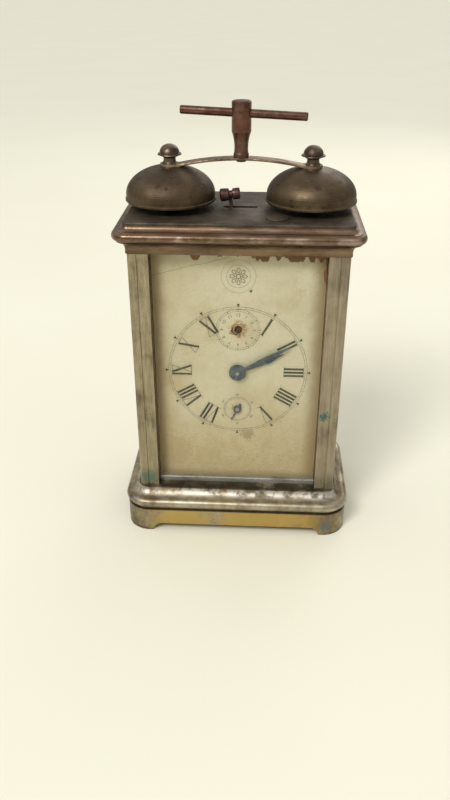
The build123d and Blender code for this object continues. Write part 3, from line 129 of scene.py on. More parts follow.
def placed(tree, group, **values):
    node = tree.nodes.new("ShaderNodeGroup")
    node.node_tree = group
    for label, value in values.items():
        socketOf(tree, value, node.inputs[label])
    return node.outputs


# Broad tarnish with a soft edge, and a fine grain nine times smaller
def makePatina():
    tree, given, result = newGroup(
        "patina",
        [
            ("Vector", "NodeSocketVector", None),
            ("Scale", "NodeSocketFloat", 60.0),
            ("Coverage", "NodeSocketFloat", 0.5),
            ("Softness", "NodeSocketFloat", 0.1),
        ],
        [("Mask", "NodeSocketFloat"), ("Fine", "NodeSocketFloat")],
    )
    broad = noiseOf(tree, given["Vector"], given["Scale"], 7.0, 0.62)
    level = mathOf(tree, "SUBTRACT", 1.0, given["Coverage"])
    low = mathOf(tree, "SUBTRACT", level, given["Softness"])
    high = mathOf(tree, "ADD", level, given["Softness"])
    tree.links.new(rangeOf(tree, broad, low, high), result["Mask"])
    fine = noiseOf(tree, given["Vector"], mathOf(tree, "MULTIPLY", given["Scale"], 9.0), 5.0, 0.7)
    tree.links.new(fine, result["Fine"])
    return tree


# One spot with a ragged edge
def makeBlot():
    tree, given, result = newGroup(
        "blot",
        [
            ("Vector", "NodeSocketVector", None),
            ("Centre", "NodeSocketVector", None),
            ("Radius", "NodeSocketFloat", 0.003),
            ("Ragged", "NodeSocketFloat", 0.5),
        ],
        [("Mask", "NodeSocketFloat")],
    )
    apart = tree.nodes.new("ShaderNodeVectorMath")
    apart.operation = "DISTANCE"
    tree.links.new(given["Vector"], apart.inputs[0])
    tree.links.new(given["Centre"], apart.inputs[1])
    wobble = mathOf(tree, "SUBTRACT", noiseOf(tree, given["Vector"], 700.0, 5.0, 0.7), 0.5)
    reach = mathOf(tree, "MULTIPLY", mathOf(tree, "MULTIPLY", wobble, given["Ragged"]), given["Radius"])
    edge = mathOf(tree, "ADD", apart.outputs["Value"], mathOf(tree, "MULTIPLY", reach, 4.0))
    inner = mathOf(tree, "MULTIPLY", given["Radius"], 0.55)
    tree.links.new(rangeOf(tree, edge, inner, given["Radius"], 1.0, 0.0), result["Mask"])
    return tree


# Fine lines, drawn out by the stretch of the place they are given
def makeBrushing():
    tree, given, result = newGroup(
        "brushing",
        [("Vector", "NodeSocketVector", None), ("Scale", "NodeSocketFloat", 200.0)],
        [("Lines", "NodeSocketFloat")],
    )
    tree.links.new(noiseOf(tree, given["Vector"], given["Scale"], 3.0, 0.6), result["Lines"])
    return tree


# Lathe marks around an upright axis
def makeTurnedRings():
    tree, given, result = newGroup(
        "turned rings",
        [
            ("Vector", "NodeSocketVector", None),
            ("Centre", "NodeSocketVector", None),
            ("Pitch", "NodeSocketFloat", 0.0004),
        ],
        [("Rings", "NodeSocketFloat")],
    )
    offset = tree.nodes.new("ShaderNodeVectorMath")
    offset.operation = "SUBTRACT"
    tree.links.new(given["Vector"], offset.inputs[0])
    tree.links.new(given["Centre"], offset.inputs[1])
    flat = stretched(tree, offset.outputs[0], (1.0, 1.0, 0.0))
    radius = tree.nodes.new("ShaderNodeVectorMath")
    radius.operation = "LENGTH"
    tree.links.new(flat, radius.inputs[0])
    depth = mathOf(tree, "SUBTRACT", radius.outputs["Value"], axesOf(tree, offset.outputs[0])[2])
    steps = mathOf(tree, "DIVIDE", depth, given["Pitch"])
    line = tree.nodes.new("ShaderNodeCombineXYZ")
    tree.links.new(steps, line.inputs[0])
    tree.links.new(noiseOf(tree, line.outputs[0], 0.9, 4.0, 0.7), result["Rings"])
    return tree


patinaGroup = makePatina()
blotGroup = makeBlot()
brushingGroup = makeBrushing()
ringGroup = makeTurnedRings()


# A colour as it looks on a screen, 0 to 255
def tone(red, green, blue):
    return tuple((value / 255) ** 2.2 for value in (red, green, blue)) + (1.0,)


def startMaterial(name):
    material = bpy.data.materials.new(name)
    material.use_nodes = True
    tree = material.node_tree
    shader = tree.nodes["Principled BSDF"]
    place = tree.nodes.new("ShaderNodeTexCoord").outputs["Object"]
    return material, tree, shader, place


def bumpTo(tree, shader, height, strength, distance):
    bump = tree.nodes.new("ShaderNodeBump")
    bump.inputs["Strength"].default_value = strength
    bump.inputs["Distance"].default_value = distance
    tree.links.new(height, bump.inputs["Height"])
    tree.links.new(bump.outputs["Normal"], shader.inputs["Normal"])


# Tarnish over metal, then dust, dark specks and bright brushing, then the marks in their order
def agedMetal(name, look, marks=()):
    material, tree, shader, place = startMaterial(name)
    broad = placed(
        tree, patinaGroup, Vector=place, Scale=look["scale"], Coverage=look["coverage"], Softness=0.14
    )
    bloom = placed(
        tree, patinaGroup, Vector=place, Scale=look["scale"] * 3.1, Coverage=look["bloom"], Softness=0.07
    )
    grain = placed(tree, brushingGroup, Vector=stretched(tree, place, look["stretch"]), Scale=look["grain"])
    colour = mixOf(tree, broad["Mask"], look["metal"], look["patina"])
    colour = mixOf(tree, mathOf(tree, "MULTIPLY", bloom["Mask"], 0.8), colour, look["dust"])
    fleck = rangeOf(tree, bloom["Fine"], 0.36, 0.46, 1.0, 0.0)
    colour = mixOf(tree, mathOf(tree, "MULTIPLY", fleck, look["speck"]), colour, look["dark"])
    streak = rangeOf(tree, grain["Lines"], 0.35, 0.75, 0.0, 0.35)
    colour = mixOf(tree, streak, colour, look["bright"])
    for mark in marks:
        colour = mark(tree, place, colour)
    tree.links.new(colour, shader.inputs["Base Color"])
    shader.inputs["Metallic"].default_value = look["metallic"]
    rough = rangeOf(tree, broad["Mask"], 0.0, 1.0, look["rough"][0], look["rough"][1])
    rough = mathOf(tree, "ADD", rough, mathOf(tree, "MULTIPLY", grain["Lines"], 0.12))
    tree.links.new(rough, shader.inputs["Roughness"])
    height = mathOf(tree, "ADD", mathOf(tree, "MULTIPLY", bloom["Fine"], 0.5), grain["Lines"])
    height = mathOf(tree, "ADD", height, mathOf(tree, "MULTIPLY", broad["Mask"], 0.4))
    bumpTo(tree, shader, height, look["bump"], 0.0002)
    return material


# Each mark below is laid over the colour under it, and gives the colour that comes out
def blotMark(centre, radius, colour, amount=0.9, ragged=0.5):
    def mark(tree, place, below):
        blot = placed(tree, blotGroup, Vector=place, Centre=centre, Radius=radius, Ragged=ragged)
        return mixOf(tree, mathOf(tree, "MULTIPLY", blot["Mask"], amount), below, colour)
    return mark


def heightBand(low, high, soft, colour, amount, breakScale, breakLow, breakHigh):
    def mark(tree, place, below):
        along = axesOf(tree, place)[2]
        rise = rangeOf(tree, along, low - soft, low + soft)
        fall = rangeOf(tree, along, high - soft, high + soft, 1.0, 0.0)
        broken = rangeOf(tree, noiseOf(tree, place, breakScale, 6.0, 0.65), breakLow, breakHigh)
        mask = mathOf(tree, "MULTIPLY", mathOf(tree, "MULTIPLY", rise, fall), broken)
        return mixOf(tree, mathOf(tree, "MULTIPLY", mask, amount), below, colour)
    return mark


def middleBrassMark(halfWidth, top, colour):
    def mark(tree, place, below):
        axes = axesOf(tree, place)
        inward = rangeOf(tree, mathOf(tree, "ABSOLUTE", axes[0]), halfWidth * 0.72, halfWidth, 1.0, 0.0)
        low = rangeOf(tree, axes[2], top - 0.001, top + 0.001, 1.0, 0.0)
        broken = rangeOf(tree, noiseOf(tree, place, 55.0, 6.0, 0.7), 0.32, 0.5)
        mask = mathOf(tree, "MULTIPLY", mathOf(tree, "MULTIPLY", inward, low), broken)
        return mixOf(tree, mathOf(tree, "MULTIPLY", mask, 0.9), below, colour)
    return mark


def cornerMark(low, high, colour, amount):
    def mark(tree, place, below):
        outward = rangeOf(tree, mathOf(tree, "ABSOLUTE", axesOf(tree, place)[0]), low, high)
        broken = rangeOf(tree, noiseOf(tree, place, 80.0, 6.0, 0.7), 0.35, 0.62)
        mask = mathOf(tree, "MULTIPLY", outward, broken)
        return mixOf(tree, mathOf(tree, "MULTIPLY", mask, amount), below, colour)
    return mark


# Lighter and pinker towards the right: a painted highlight
def rightSideMark(low, high, colour, amount):
    def mark(tree, place, below):
        side = rangeOf(tree, axesOf(tree, place)[0], low, high, 0.0, amount)
        return mixOf(tree, side, below, colour)
    return mark


verdigris = tone(74, 122, 108)

# metal, patina, dust, dark and bright are colours. rough is from clean to tarnished metal.
# coverage and bloom are shares of the surface under tarnish and dust, and scale is how fine they are.
# stretch and grain draw the brushing.
finishLooks = {
    "wornBrass": {
        "metal": tone(162, 148, 118), "patina": tone(106, 92, 68), "dust": tone(184, 174, 150),
        "dark": tone(70, 58, 42), "bright": tone(206, 196, 172), "metallic": 0.85, "rough": (0.26, 0.42),
        "scale": 36.0, "coverage": 0.45, "bloom": 0.3, "stretch": (2.0, 2.0, 0.5), "grain": 160.0,
        "bump": 0.14, "speck": 0.45,
    },
    "corniceBronze": {
        "metal": tone(108, 88, 68), "patina": tone(72, 56, 42), "dust": tone(132, 110, 92),
        "dark": tone(46, 34, 26), "bright": tone(178, 152, 132), "metallic": 0.9, "rough": (0.22, 0.36),
        "scale": 30.0, "coverage": 0.5, "bloom": 0.27, "stretch": (0.5, 1.6, 2.4), "grain": 130.0,
        "bump": 0.12, "speck": 0.4,
    },
    "plateDark": {
        "metal": tone(88, 78, 64), "patina": tone(62, 54, 44), "dust": tone(116, 102, 84),
        "dark": tone(34, 28, 22), "bright": tone(124, 110, 92), "metallic": 0.6, "rough": (0.36, 0.52),
        "scale": 50.0, "coverage": 0.55, "bloom": 0.34, "stretch": (0.7, 1.4, 1.0), "grain": 160.0,
        "bump": 0.3, "speck": 0.6,
    },
    "handleDark": {
        "metal": tone(98, 68, 56), "patina": tone(70, 46, 38), "dust": tone(124, 98, 84),
        "dark": tone(34, 24, 20), "bright": tone(150, 122, 106), "metallic": 0.85, "rough": (0.24, 0.38),
        "scale": 90.0, "coverage": 0.5, "bloom": 0.22, "stretch": (1.0, 1.0, 1.0), "grain": 220.0,
        "bump": 0.12, "speck": 0.35,
    },
    "nutDark": {
        "metal": tone(92, 78, 64), "patina": tone(64, 52, 44), "dust": tone(126, 112, 96),
        "dark": tone(32, 26, 22), "bright": tone(156, 140, 122), "metallic": 0.85, "rough": (0.26, 0.4),
        "scale": 120.0, "coverage": 0.5, "bloom": 0.3, "stretch": (1.0, 1.0, 1.5), "grain": 260.0,
        "bump": 0.2, "speck": 0.5,
    },
    "strapMetal": {
        "metal": tone(138, 116, 92), "patina": tone(88, 68, 52), "dust": tone(178, 152, 112),
        "dark": tone(48, 36, 28), "bright": tone(204, 188, 160), "metallic": 0.88, "rough": (0.24, 0.38),
        "scale": 90.0, "coverage": 0.5, "bloom": 0.32, "stretch": (0.5, 1.6, 1.0), "grain": 240.0,
        "bump": 0.15, "speck": 0.45,
    },
    "hammerMetal": {
        "metal": tone(88, 62, 58), "patina": tone(64, 44, 42), "dust": tone(110, 88, 82),
        "dark": tone(32, 22, 22), "bright": tone(136, 112, 106), "metallic": 0.7, "rough": (0.32, 0.48),
        "scale": 160.0, "coverage": 0.55, "bloom": 0.3, "stretch": (1.0, 1.0, 1.0), "grain": 300.0,
        "bump": 0.25, "speck": 0.5,
    },
    "sillGrey": {
        "metal": tone(150, 150, 140), "patina": tone(104, 98, 84), "dust": tone(172, 170, 158),
        "dark": tone(50, 40, 30), "bright": tone(188, 188, 178), "metallic": 0.5, "rough": (0.36, 0.5),
        "scale": 80.0, "coverage": 0.4, "bloom": 0.35, "stretch": (0.4, 1.0, 2.0), "grain": 200.0,
        "bump": 0.2, "speck": 0.7,
    },
    "movementBrass": {
        "metal": tone(206, 176, 108), "patina": tone(168, 136, 76), "dust": tone(190, 172, 130),
        "dark": tone(92, 70, 38), "bright": tone(232, 208, 150), "metallic": 0.95, "rough": (0.24, 0.4),
        "scale": 90.0, "coverage": 0.4, "bloom": 0.22, "stretch": (0.5, 1.0, 3.0), "grain": 500.0,
        "bump": 0.15, "speck": 0.5,
    },
    "movementSteel": {
        "metal": tone(160, 160, 158), "patina": tone(116, 112, 106), "dust": tone(146, 136, 122),
        "dark": tone(66, 58, 50), "bright": tone(204, 204, 202), "metallic": 0.95, "rough": (0.22, 0.38),
        "scale": 120.0, "coverage": 0.4, "bloom": 0.25, "stretch": (1.0, 0.3, 1.0), "grain": 600.0,
        "bump": 0.15, "speck": 0.6,
    },
    "darkSteel": {
        "metal": tone(70, 60, 50), "patina": tone(48, 38, 30), "dust": tone(96, 76, 56),
        "dark": tone(26, 20, 16), "bright": tone(104, 92, 78), "metallic": 0.6, "rough": (0.4, 0.55),
        "scale": 200.0, "coverage": 0.5, "bloom": 0.4, "stretch": (1.0, 1.0, 1.0), "grain": 600.0,
        "bump": 0.2, "speck": 0.7,
    },
    "springSteel": {
        "metal": tone(92, 98, 122), "patina": tone(70, 74, 92), "dust": tone(110, 104, 98),
        "dark": tone(34, 34, 42), "bright": tone(150, 158, 184), "metallic": 0.95, "rough": (0.2, 0.34),
        "scale": 100.0, "coverage": 0.4, "bloom": 0.2, "stretch": (1.0, 0.3, 1.0), "grain": 600.0,
        "bump": 0.1, "speck": 0.4,
    },
    "handSteel": {
        "metal": tone(84, 92, 92), "patina": tone(64, 70, 70), "dust": tone(108, 118, 120),
        "dark": tone(34, 34, 34), "bright": tone(128, 138, 142), "metallic": 0.3, "rough": (0.45, 0.6),
        "scale": 180.0, "coverage": 0.5, "bloom": 0.4, "stretch": (1.0, 1.0, 1.0), "grain": 500.0,
        "bump": 0.2, "speck": 0.5,
    },
}

footSpots = {
    "leftPost": blotMark((-0.0430, frontFace, 0.0278), 0.0042, verdigris, 0.55, 1.0),
    "rightPost": blotMark((0.0410, frontFace, 0.0642), 0.0026, tone(58, 104, 98), 0.9, 0.8),
    "rightFoot": blotMark((0.0445, plinthLow.y, 0.0052), 0.0032, tone(92, 112, 128), 0.7, 0.8),
}

# A band is low, high, soft edge, colour, amount, then how fine and how broken it is
plinthLook = {
    "corner": (0.030, 0.046, tone(98, 84, 66), 0.85),
    "middle": (0.046, 0.0124, tone(186, 158, 92)),   # the bare brass between the feet
    "bands": [
        # painted highlight along the bead
        (0.0135, 0.0180, 0.0006, tone(206, 200, 182), 0.55, 60.0, 0.4, 0.62),
        (0.0190, plinthTop, 0.0008, tone(198, 194, 180), 0.8, 110.0, 0.38, 0.56),
        (0.0190, plinthTop + 0.001, 0.0008, tone(84, 74, 58), 0.8, 170.0, 0.48, 0.6),
        # painted shade in the groove between the band and the bead
        (0.0122, 0.0132, 0.0003, tone(58, 48, 36), 0.85, 60.0, 0.1, 0.3),
        # painted shade along the top of the plinth, under the posts and the dial
        (plinthTop - 0.0008, plinthTop + 0.002, 0.0003, tone(58, 50, 40), 0.85, 70.0, 0.3, 0.52),
        (-0.001, 0.0016, 0.0006, tone(66, 56, 42), 0.5, 110.0, 0.4, 0.6),
    ],
}
plinthMarks = [cornerMark(*plinthLook["corner"]), middleBrassMark(*plinthLook["middle"])]
plinthMarks += [heightBand(*band) for band in plinthLook["bands"]] + [footSpots["rightFoot"]]
plinthMaterial = agedMetal("plinth brass", finishLooks["wornBrass"], plinthMarks)
postMaterial = agedMetal(
    "post brass",
    dict(
        finishLooks["wornBrass"],
        metal=tone(146, 134, 108), patina=tone(94, 82, 60), dust=tone(160, 150, 126),
        scale=60.0, stretch=(3.0, 3.0, 0.25), grain=300.0, speck=0.35,
    ),
    [
        # painted pinkish highlight on the right-hand posts
        rightSideMark(0.0, 0.03, tone(150, 136, 124), 0.4),
        heightBand(plinthTop - 0.001, plinthTop + 0.008, 0.004, tone(96, 92, 74), 0.7, 150.0, 0.3, 0.55),
        footSpots["leftPost"],
        footSpots["rightPost"],
    ],
)
panelMaterial = agedMetal(
    "panel brass",
    dict(finishLooks["wornBrass"], metal=tone(170, 150, 106), patina=tone(132, 112, 76), scale=22.0),
)
corniceFoot = corniceLow.z
corniceBands = [
    (corniceFoot + 0.0100, corniceHigh.z, 0.0004, tone(142, 98, 74), 0.35, 60.0, 0.48, 0.64),
    # painted shade in the step under the torus
    (corniceFoot + 0.0053, corniceFoot + 0.0064, 0.0003, tone(44, 34, 26), 0.85, 60.0, 0.1, 0.3),
    # painted highlight along the torus
    (corniceFoot + 0.0070, corniceFoot + 0.0094, 0.0005, tone(206, 182, 168), 0.45, 90.0, 0.45, 0.64),
    (corniceFoot + 0.0006, corniceFoot + 0.0030, 0.0005, tone(150, 128, 92), 0.4, 120.0, 0.42, 0.6),
]
corniceMaterial = agedMetal(
    "cornice bronze", finishLooks["corniceBronze"], [heightBand(*band) for band in corniceBands]
)


bellLook = {
    "metal": tone(92, 78, 58), "patina": tone(62, 48, 36), "turned": tone(124, 108, 82),
    "spot": tone(44, 34, 26), "fleck": tone(134, 116, 88), "dentShade": tone(24, 18, 14),
    "pitch": 0.00045, "dentShadeRadius": 0.0012, "metallic": 0.7, "anisotropic": 0.3, "rough": (0.34, 0.52),
    "bump": 0.35,
}
# The dent in the left bell is not in its shape; a dark blot at this point is its painted shade.
leftBellDentShade = (-0.0305, -0.0165, 0.1662)


def bellMetal(name, look, centre, dentShade=None):
    material, tree, shader, place = startMaterial(name)
    rings = placed(tree, ringGroup, Vector=place, Centre=centre, Pitch=look["pitch"])
    broad = placed(tree, patinaGroup, Vector=place, Scale=55.0, Coverage=0.55, Softness=0.16)
    spots = placed(tree, patinaGroup, Vector=place, Scale=210.0, Coverage=0.38, Softness=0.05)
    colour = mixOf(tree, broad["Mask"], look["metal"], look["patina"])
    colour = mixOf(tree, rangeOf(tree, rings["Rings"], 0.4, 0.7, 0.0, 0.35), colour, look["turned"])
    colour = mixOf(tree, mathOf(tree, "MULTIPLY", spots["Mask"], 0.6), colour, look["spot"])
    colour = mixOf(tree, rangeOf(tree, spots["Fine"], 0.58, 0.68, 0.0, 0.35), colour, look["fleck"])
    # painted shade of the dent
    if dentShade:
        blot = placed(tree, blotGroup, Vector=place, Centre=dentShade, Radius=look["dentShadeRadius"], Ragged=0.3)
        colour = mixOf(tree, blot["Mask"], colour, look["dentShade"])
    tree.links.new(colour, shader.inputs["Base Color"])
    shader.inputs["Metallic"].default_value = look["metallic"]
    shader.inputs["Anisotropic"].default_value = look["anisotropic"]
    rough = rangeOf(tree, broad["Mask"], 0.0, 1.0, look["rough"][0], look["rough"][1])
    tree.links.new(rough, shader.inputs["Roughness"])
    height = mathOf(tree, "ADD", rings["Rings"], mathOf(tree, "MULTIPLY", spots["Mask"], 0.5))
    bumpTo(tree, shader, height, look["bump"], 0.0002)
    return material


paperLook = {
    "clean": tone(200, 194, 166), "cloud": tone(184, 175, 142), "shade": tone(164, 145, 102),
    "speckle": tone(150, 132, 96), "fibre": tone(228, 222, 196), "blotch": tone(168, 150, 112),
    "pale": tone(214, 210, 186), "sideEdgeDark": tone(138, 118, 84), "footGrime": tone(120, 102, 72),
    "roughness": 0.82, "specular": 0.25, "bump": 0.3,
}


def paperMaterial(look, stains):
    material, tree, shader, place = startMaterial("dial paper")
    axes = axesOf(tree, place)
    fibre = noiseOf(tree, stretched(tree, place, (1.0, 1.0, 2.2)), 900.0, 5.0, 0.7)
    clouds = placed(tree, patinaGroup, Vector=place, Scale=22.0, Coverage=0.5, Softness=0.25)
    speckle = placed(tree, patinaGroup, Vector=place, Scale=330.0, Coverage=0.3, Softness=0.04)
    colour = mixOf(tree, clouds["Mask"], look["clean"], look["cloud"])
    lower = rangeOf(tree, axes[2], plinthTop + 0.004, dialCentre.z + 0.010, 1.0, 0.0)
    left = rangeOf(tree, axes[0], paperLow.x, 0.0, 0.55, 0.0)
    shade = mathOf(tree, "MAXIMUM", lower, mathOf(tree, "MULTIPLY", left, 0.8))
    shade = mathOf(tree, "MULTIPLY", shade, rangeOf(tree, clouds["Fine"], 0.25, 0.65, 0.75, 1.0))
    colour = mixOf(tree, shade, colour, look["shade"])
    colour = mixOf(tree, mathOf(tree, "MULTIPLY", speckle["Mask"], 0.3), colour, look["speckle"])
    colour = mixOf(tree, rangeOf(tree, fibre, 0.3, 0.7, 0.0, 0.22), colour, look["fibre"])
    blotches = placed(tree, patinaGroup, Vector=place, Scale=48.0, Coverage=0.42, Softness=0.12)
    colour = mixOf(tree, mathOf(tree, "MULTIPLY", blotches["Mask"], 0.5), colour, look["blotch"])
    pale = placed(tree, patinaGroup, Vector=place, Scale=31.0, Coverage=0.36, Softness=0.14)
    colour = mixOf(tree, mathOf(tree, "MULTIPLY", pale["Mask"], 0.4), colour, look["pale"])
    for centre, radius, stain, amount in stains:
        blot = placed(tree, blotGroup, Vector=place, Centre=centre, Radius=radius, Ragged=0.7)
        colour = mixOf(tree, mathOf(tree, "MULTIPLY", blot["Mask"], amount), colour, stain)
    # Darker towards the left and right edges of the paper
    edge = mathOf(tree, "SUBTRACT", paperHigh.x, mathOf(tree, "ABSOLUTE", axes[0]))
    sideEdgeReach = mathOf(tree, "ADD", edge, mathOf(tree, "MULTIPLY", clouds["Fine"], 0.003))
    colour = mixOf(tree, rangeOf(tree, sideEdgeReach, 0.0016, 0.0095, 0.85, 0.0), colour, look["sideEdgeDark"])
    foot = mathOf(tree, "ADD", axes[2], mathOf(tree, "MULTIPLY", clouds["Fine"], 0.004))
    footGrime = rangeOf(tree, foot, plinthTop + 0.0045, plinthTop + 0.009, 0.65, 0.0)
    colour = mixOf(tree, footGrime, colour, look["footGrime"])
    tree.links.new(colour, shader.inputs["Base Color"])
    shader.inputs["Roughness"].default_value = look["roughness"]
    shader.inputs["Specular IOR Level"].default_value = look["specular"]
    bumpTo(tree, shader, mathOf(tree, "ADD", fibre, clouds["Fine"]), look["bump"], 0.00012)
    return material


def inkMaterial(name, ink, worn, wear):
    material, tree, shader, place = startMaterial(name)
    flake = placed(tree, patinaGroup, Vector=place, Scale=420.0, Coverage=wear, Softness=0.08)
    patch = placed(tree, patinaGroup, Vector=place, Scale=70.0, Coverage=wear, Softness=0.2)
    gone = mathOf(tree, "MULTIPLY", mathOf(tree, "MAXIMUM", flake["Mask"], patch["Mask"]), 0.75)
    colour = mixOf(tree, gone, ink, worn)
    colour = mixOf(tree, rangeOf(tree, flake["Fine"], 0.4, 0.7, 0.0, 0.2), colour, worn)
    tree.links.new(colour, shader.inputs["Base Color"])
    shader.inputs["Roughness"].default_value = 0.75
    shader.inputs["Specular IOR Level"].default_value = 0.2
    return material


def glassMaterial():
    material, tree, shader, place = startMaterial("old glass")
    smear = placed(tree, patinaGroup, Vector=place, Scale=35.0, Coverage=0.4, Softness=0.25)
    ripple = noiseOf(tree, place, 30.0, 2.0, 0.5)
    shader.inputs["Base Color"].default_value = (0.93, 0.97, 0.95, 1.0)
    shader.inputs["Transmission Weight"].default_value = 1.0
    shader.inputs["IOR"].default_value = 1.46
    rough = rangeOf(tree, smear["Mask"], 0.0, 1.0, 0.02, 0.1)
    tree.links.new(rough, shader.inputs["Roughness"])
    veil = rangeOf(tree, smear["Fine"], 0.3, 0.8, 0.05, 0.09)
    tree.links.new(veil, shader.inputs["Alpha"])
    bumpTo(tree, shader, ripple, 0.04, 0.0005)
    return material


# Where each stain is, its radius, its colour and how strong it is
paperStains = [
    ((alarmCentre.x, paperFace, alarmCentre.z), 0.0046, tone(146, 108, 66), 0.85),   # rust at the alarm arbor
    ((alarmCentre.x - 0.001, paperFace, alarmCentre.z - 0.0005), 0.0028, tone(78, 56, 38), 0.9),
    ((secondsCentre.x, paperFace, secondsCentre.z), 0.0034, tone(150, 126, 84), 0.6),
    ((0.005, paperFace, 0.0495), 0.0035, tone(112, 92, 58), 0.45),
    ((0.0055, paperFace, 0.1233), 0.0007, tone(52, 40, 30), 0.95),
    ((-0.030, paperFace, 0.040), 0.010, tone(158, 138, 98), 0.4),
    ((0.030, paperFace, 0.128), 0.006, tone(214, 208, 182), 0.4),
    ((-0.012, paperFace, 0.101), 0.004, tone(168, 150, 112), 0.35),
    ((0.018, paperFace, 0.060), 0.005, tone(164, 146, 106), 0.3),
]


def bellCrown(name):
    low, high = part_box(name)
    return ((low.x + high.x) / 2, (low.y + high.y) / 2, high.z)


finishes = {look: agedMetal(look, values) for look, values in finishLooks.items()}
finishes["glass"] = glassMaterial()
finishes["paper"] = paperMaterial(paperLook, paperStains)
finishes["plinth"] = plinthMaterial
finishes["post"] = postMaterial
finishes["cornice"] = corniceMaterial
finishes["panel"] = panelMaterial
finishes["leftBell"] = bellMetal("left bell metal", bellLook, bellCrown("left_bell"), leftBellDentShade)
finishes["rightBell"] = bellMetal("right bell metal", bellLook, bellCrown("right_bell"))
finishes["ink"] = inkMaterial("dial ink", tone(54, 56, 44), tone(136, 128, 100), 0.24)
finishes["faintInk"] = inkMaterial("faint ink", tone(104, 102, 82), tone(160, 150, 118), 0.36)
finishes["rust"] = inkMaterial("torn edge", tone(128, 84, 58), tone(112, 92, 64), 0.5)
print("materials made:", len(finishes))

# Every node that is not named here is movement brass
nodeFinish = {
    "plinth": "plinth", "front_left_post": "post", "front_right_post": "post", "rear_left_post": "post",
    "rear_right_post": "post", "front_sill": "sillGrey", "front_glass": "glass", "left_glass": "glass",
    "right_glass": "glass", "cornice": "cornice", "top_plate": "plateDark", "top_plug": "plateDark",
    "back_panel": "panel", "dial_paper": "paper", "left_bell": "leftBell", "right_bell": "rightBell",
    "bell_studs": "nutDark", "bell_nuts": "nutDark", "handle_strap": "strapMetal",
    "handle_post": "handleDark", "handle_bar": "handleDark", "hour_hand": "handSteel",
    "minute_hand": "handSteel", "seconds_hand": "handSteel", "hammer": "hammerMetal",
    "time_mainspring": "springSteel", "alarm_mainspring": "springSteel", "hairspring": "springSteel",
    "case_screws": "movementSteel", "back_panel_screws": "movementSteel",
    "time_winding_arbor": "movementSteel", "alarm_winding_arbor": "movementSteel",
    "time_click": "movementSteel", "alarm_click": "movementSteel", "pallet_lever": "movementSteel",
    "centre_arbor": "movementSteel", "fourth_wheel": "movementSteel", "alarm_set_arbor": "darkSteel",
    "cannon_pinion": "handSteel",
}
for name, piece in nodes.items():
    piece.data.materials.clear()
    piece.data.materials.append(finishes[nodeFinish.get(name, "movementBrass")])
print("finishes given to every node")

inkDepth = 0.03   # everything printed is in millimetres from the middle of the dial


def polar(radius, clockDegrees, centre=(0.0, 0.0)):
    turn = math.radians(clockDegrees)
    return (centre[0] + radius * math.sin(turn), centre[1] + radius * math.cos(turn))


def strokeOf(first, second, width, endWidth=None):
    endWidth = width if endWidth is None else endWidth
    along = Vector((second[0] - first[0], second[1] - first[1])).normalized()
    side = Vector((-along.y, along.x))
    start = Vector(first)
    end = Vector(second)
    startSide, endSide = side * width / 2, side * endWidth / 2
    return [start - startSide, end - endSide, end + endSide, start + startSide]


def ringOf(centre, radius, width, steps):
    quads = []
    inner, outer = radius - width / 2, radius + width / 2
    for step in range(steps):
        low, high = 360.0 * step / steps, 360.0 * (step + 1) / steps
        corners = ((inner, low), (inner, high), (outer, high), (outer, low))
        quads.append([polar(cornerRadius, turn, centre) for cornerRadius, turn in corners])
    return quads


def layOnPaper(name, work, finish):
    mesh = bpy.data.meshes.new(name)
    work.to_mesh(mesh)
    work.free()
    mesh.materials.append(finishes[finish])
    piece = bpy.data.objects.new(name, mesh)
    bpy.context.scene.collection.objects.link(piece)
    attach(piece, "case")


def printed(name, polygons, finish, depth=inkDepth):
    work = bmesh.new()
    for polygon in polygons:
        corners = [(dialCentre.x + u * mm, paperFace, dialCentre.z + v * mm) for u, v in polygon]
        work.faces.new([work.verts.new(corner) for corner in corners])
    bmesh.ops.remove_doubles(work, verts=work.verts, dist=1e-6)
    made = bmesh.ops.extrude_face_region(work, geom=list(work.faces))
    raised = [item for item in made["geom"] if isinstance(item, bmesh.types.BMVert)]
    bmesh.ops.translate(work, verts=raised, vec=(0.0, -depth * mm, 0.0))
    bmesh.ops.recalc_face_normals(work, faces=work.faces)
    layOnPaper(name, work, finish)


def printedDigits(name, marks, size, finish):
    work = bmesh.new()
    for text, place, turn in marks:
        curve = bpy.data.curves.new(name + text, "FONT")
        curve.body = text
        curve.size = size * mm
        curve.align_x = "CENTER"
        curve.align_y = "CENTER"
        curve.extrude = inkDepth * mm / 2
        curve.resolution_u = 3
        shape = bpy.data.objects.new(name + text, curve)
        bpy.context.scene.collection.objects.link(shape)
        bpy.context.view_layer.update()
        mesh = bpy.data.meshes.new_from_object(shape)
        spin = math.radians(turn)
        for vertex in mesh.vertices:
            u = vertex.co.x * math.cos(spin) + vertex.co.y * math.sin(spin)
            v = -vertex.co.x * math.sin(spin) + vertex.co.y * math.cos(spin)
            vertex.co = (
                dialCentre.x + place[0] * mm + u,
                paperFace - inkDepth * mm / 2 - vertex.co.z,
                dialCentre.z + place[1] * mm + v,
            )
        work.from_mesh(mesh)
        bpy.data.objects.remove(shape)
        bpy.data.curves.remove(curve)
        bpy.data.meshes.remove(mesh)
    layOnPaper(name, work, finish)


numeralLook = {
    "inner": 21.4, "outer": 30.4, "thick": 1.02, "thin": 0.3, "serif": 0.28,
    "gap": 1.75, "legs": 3.4, "besideV": 0.6, "besideX": 0.4,
}


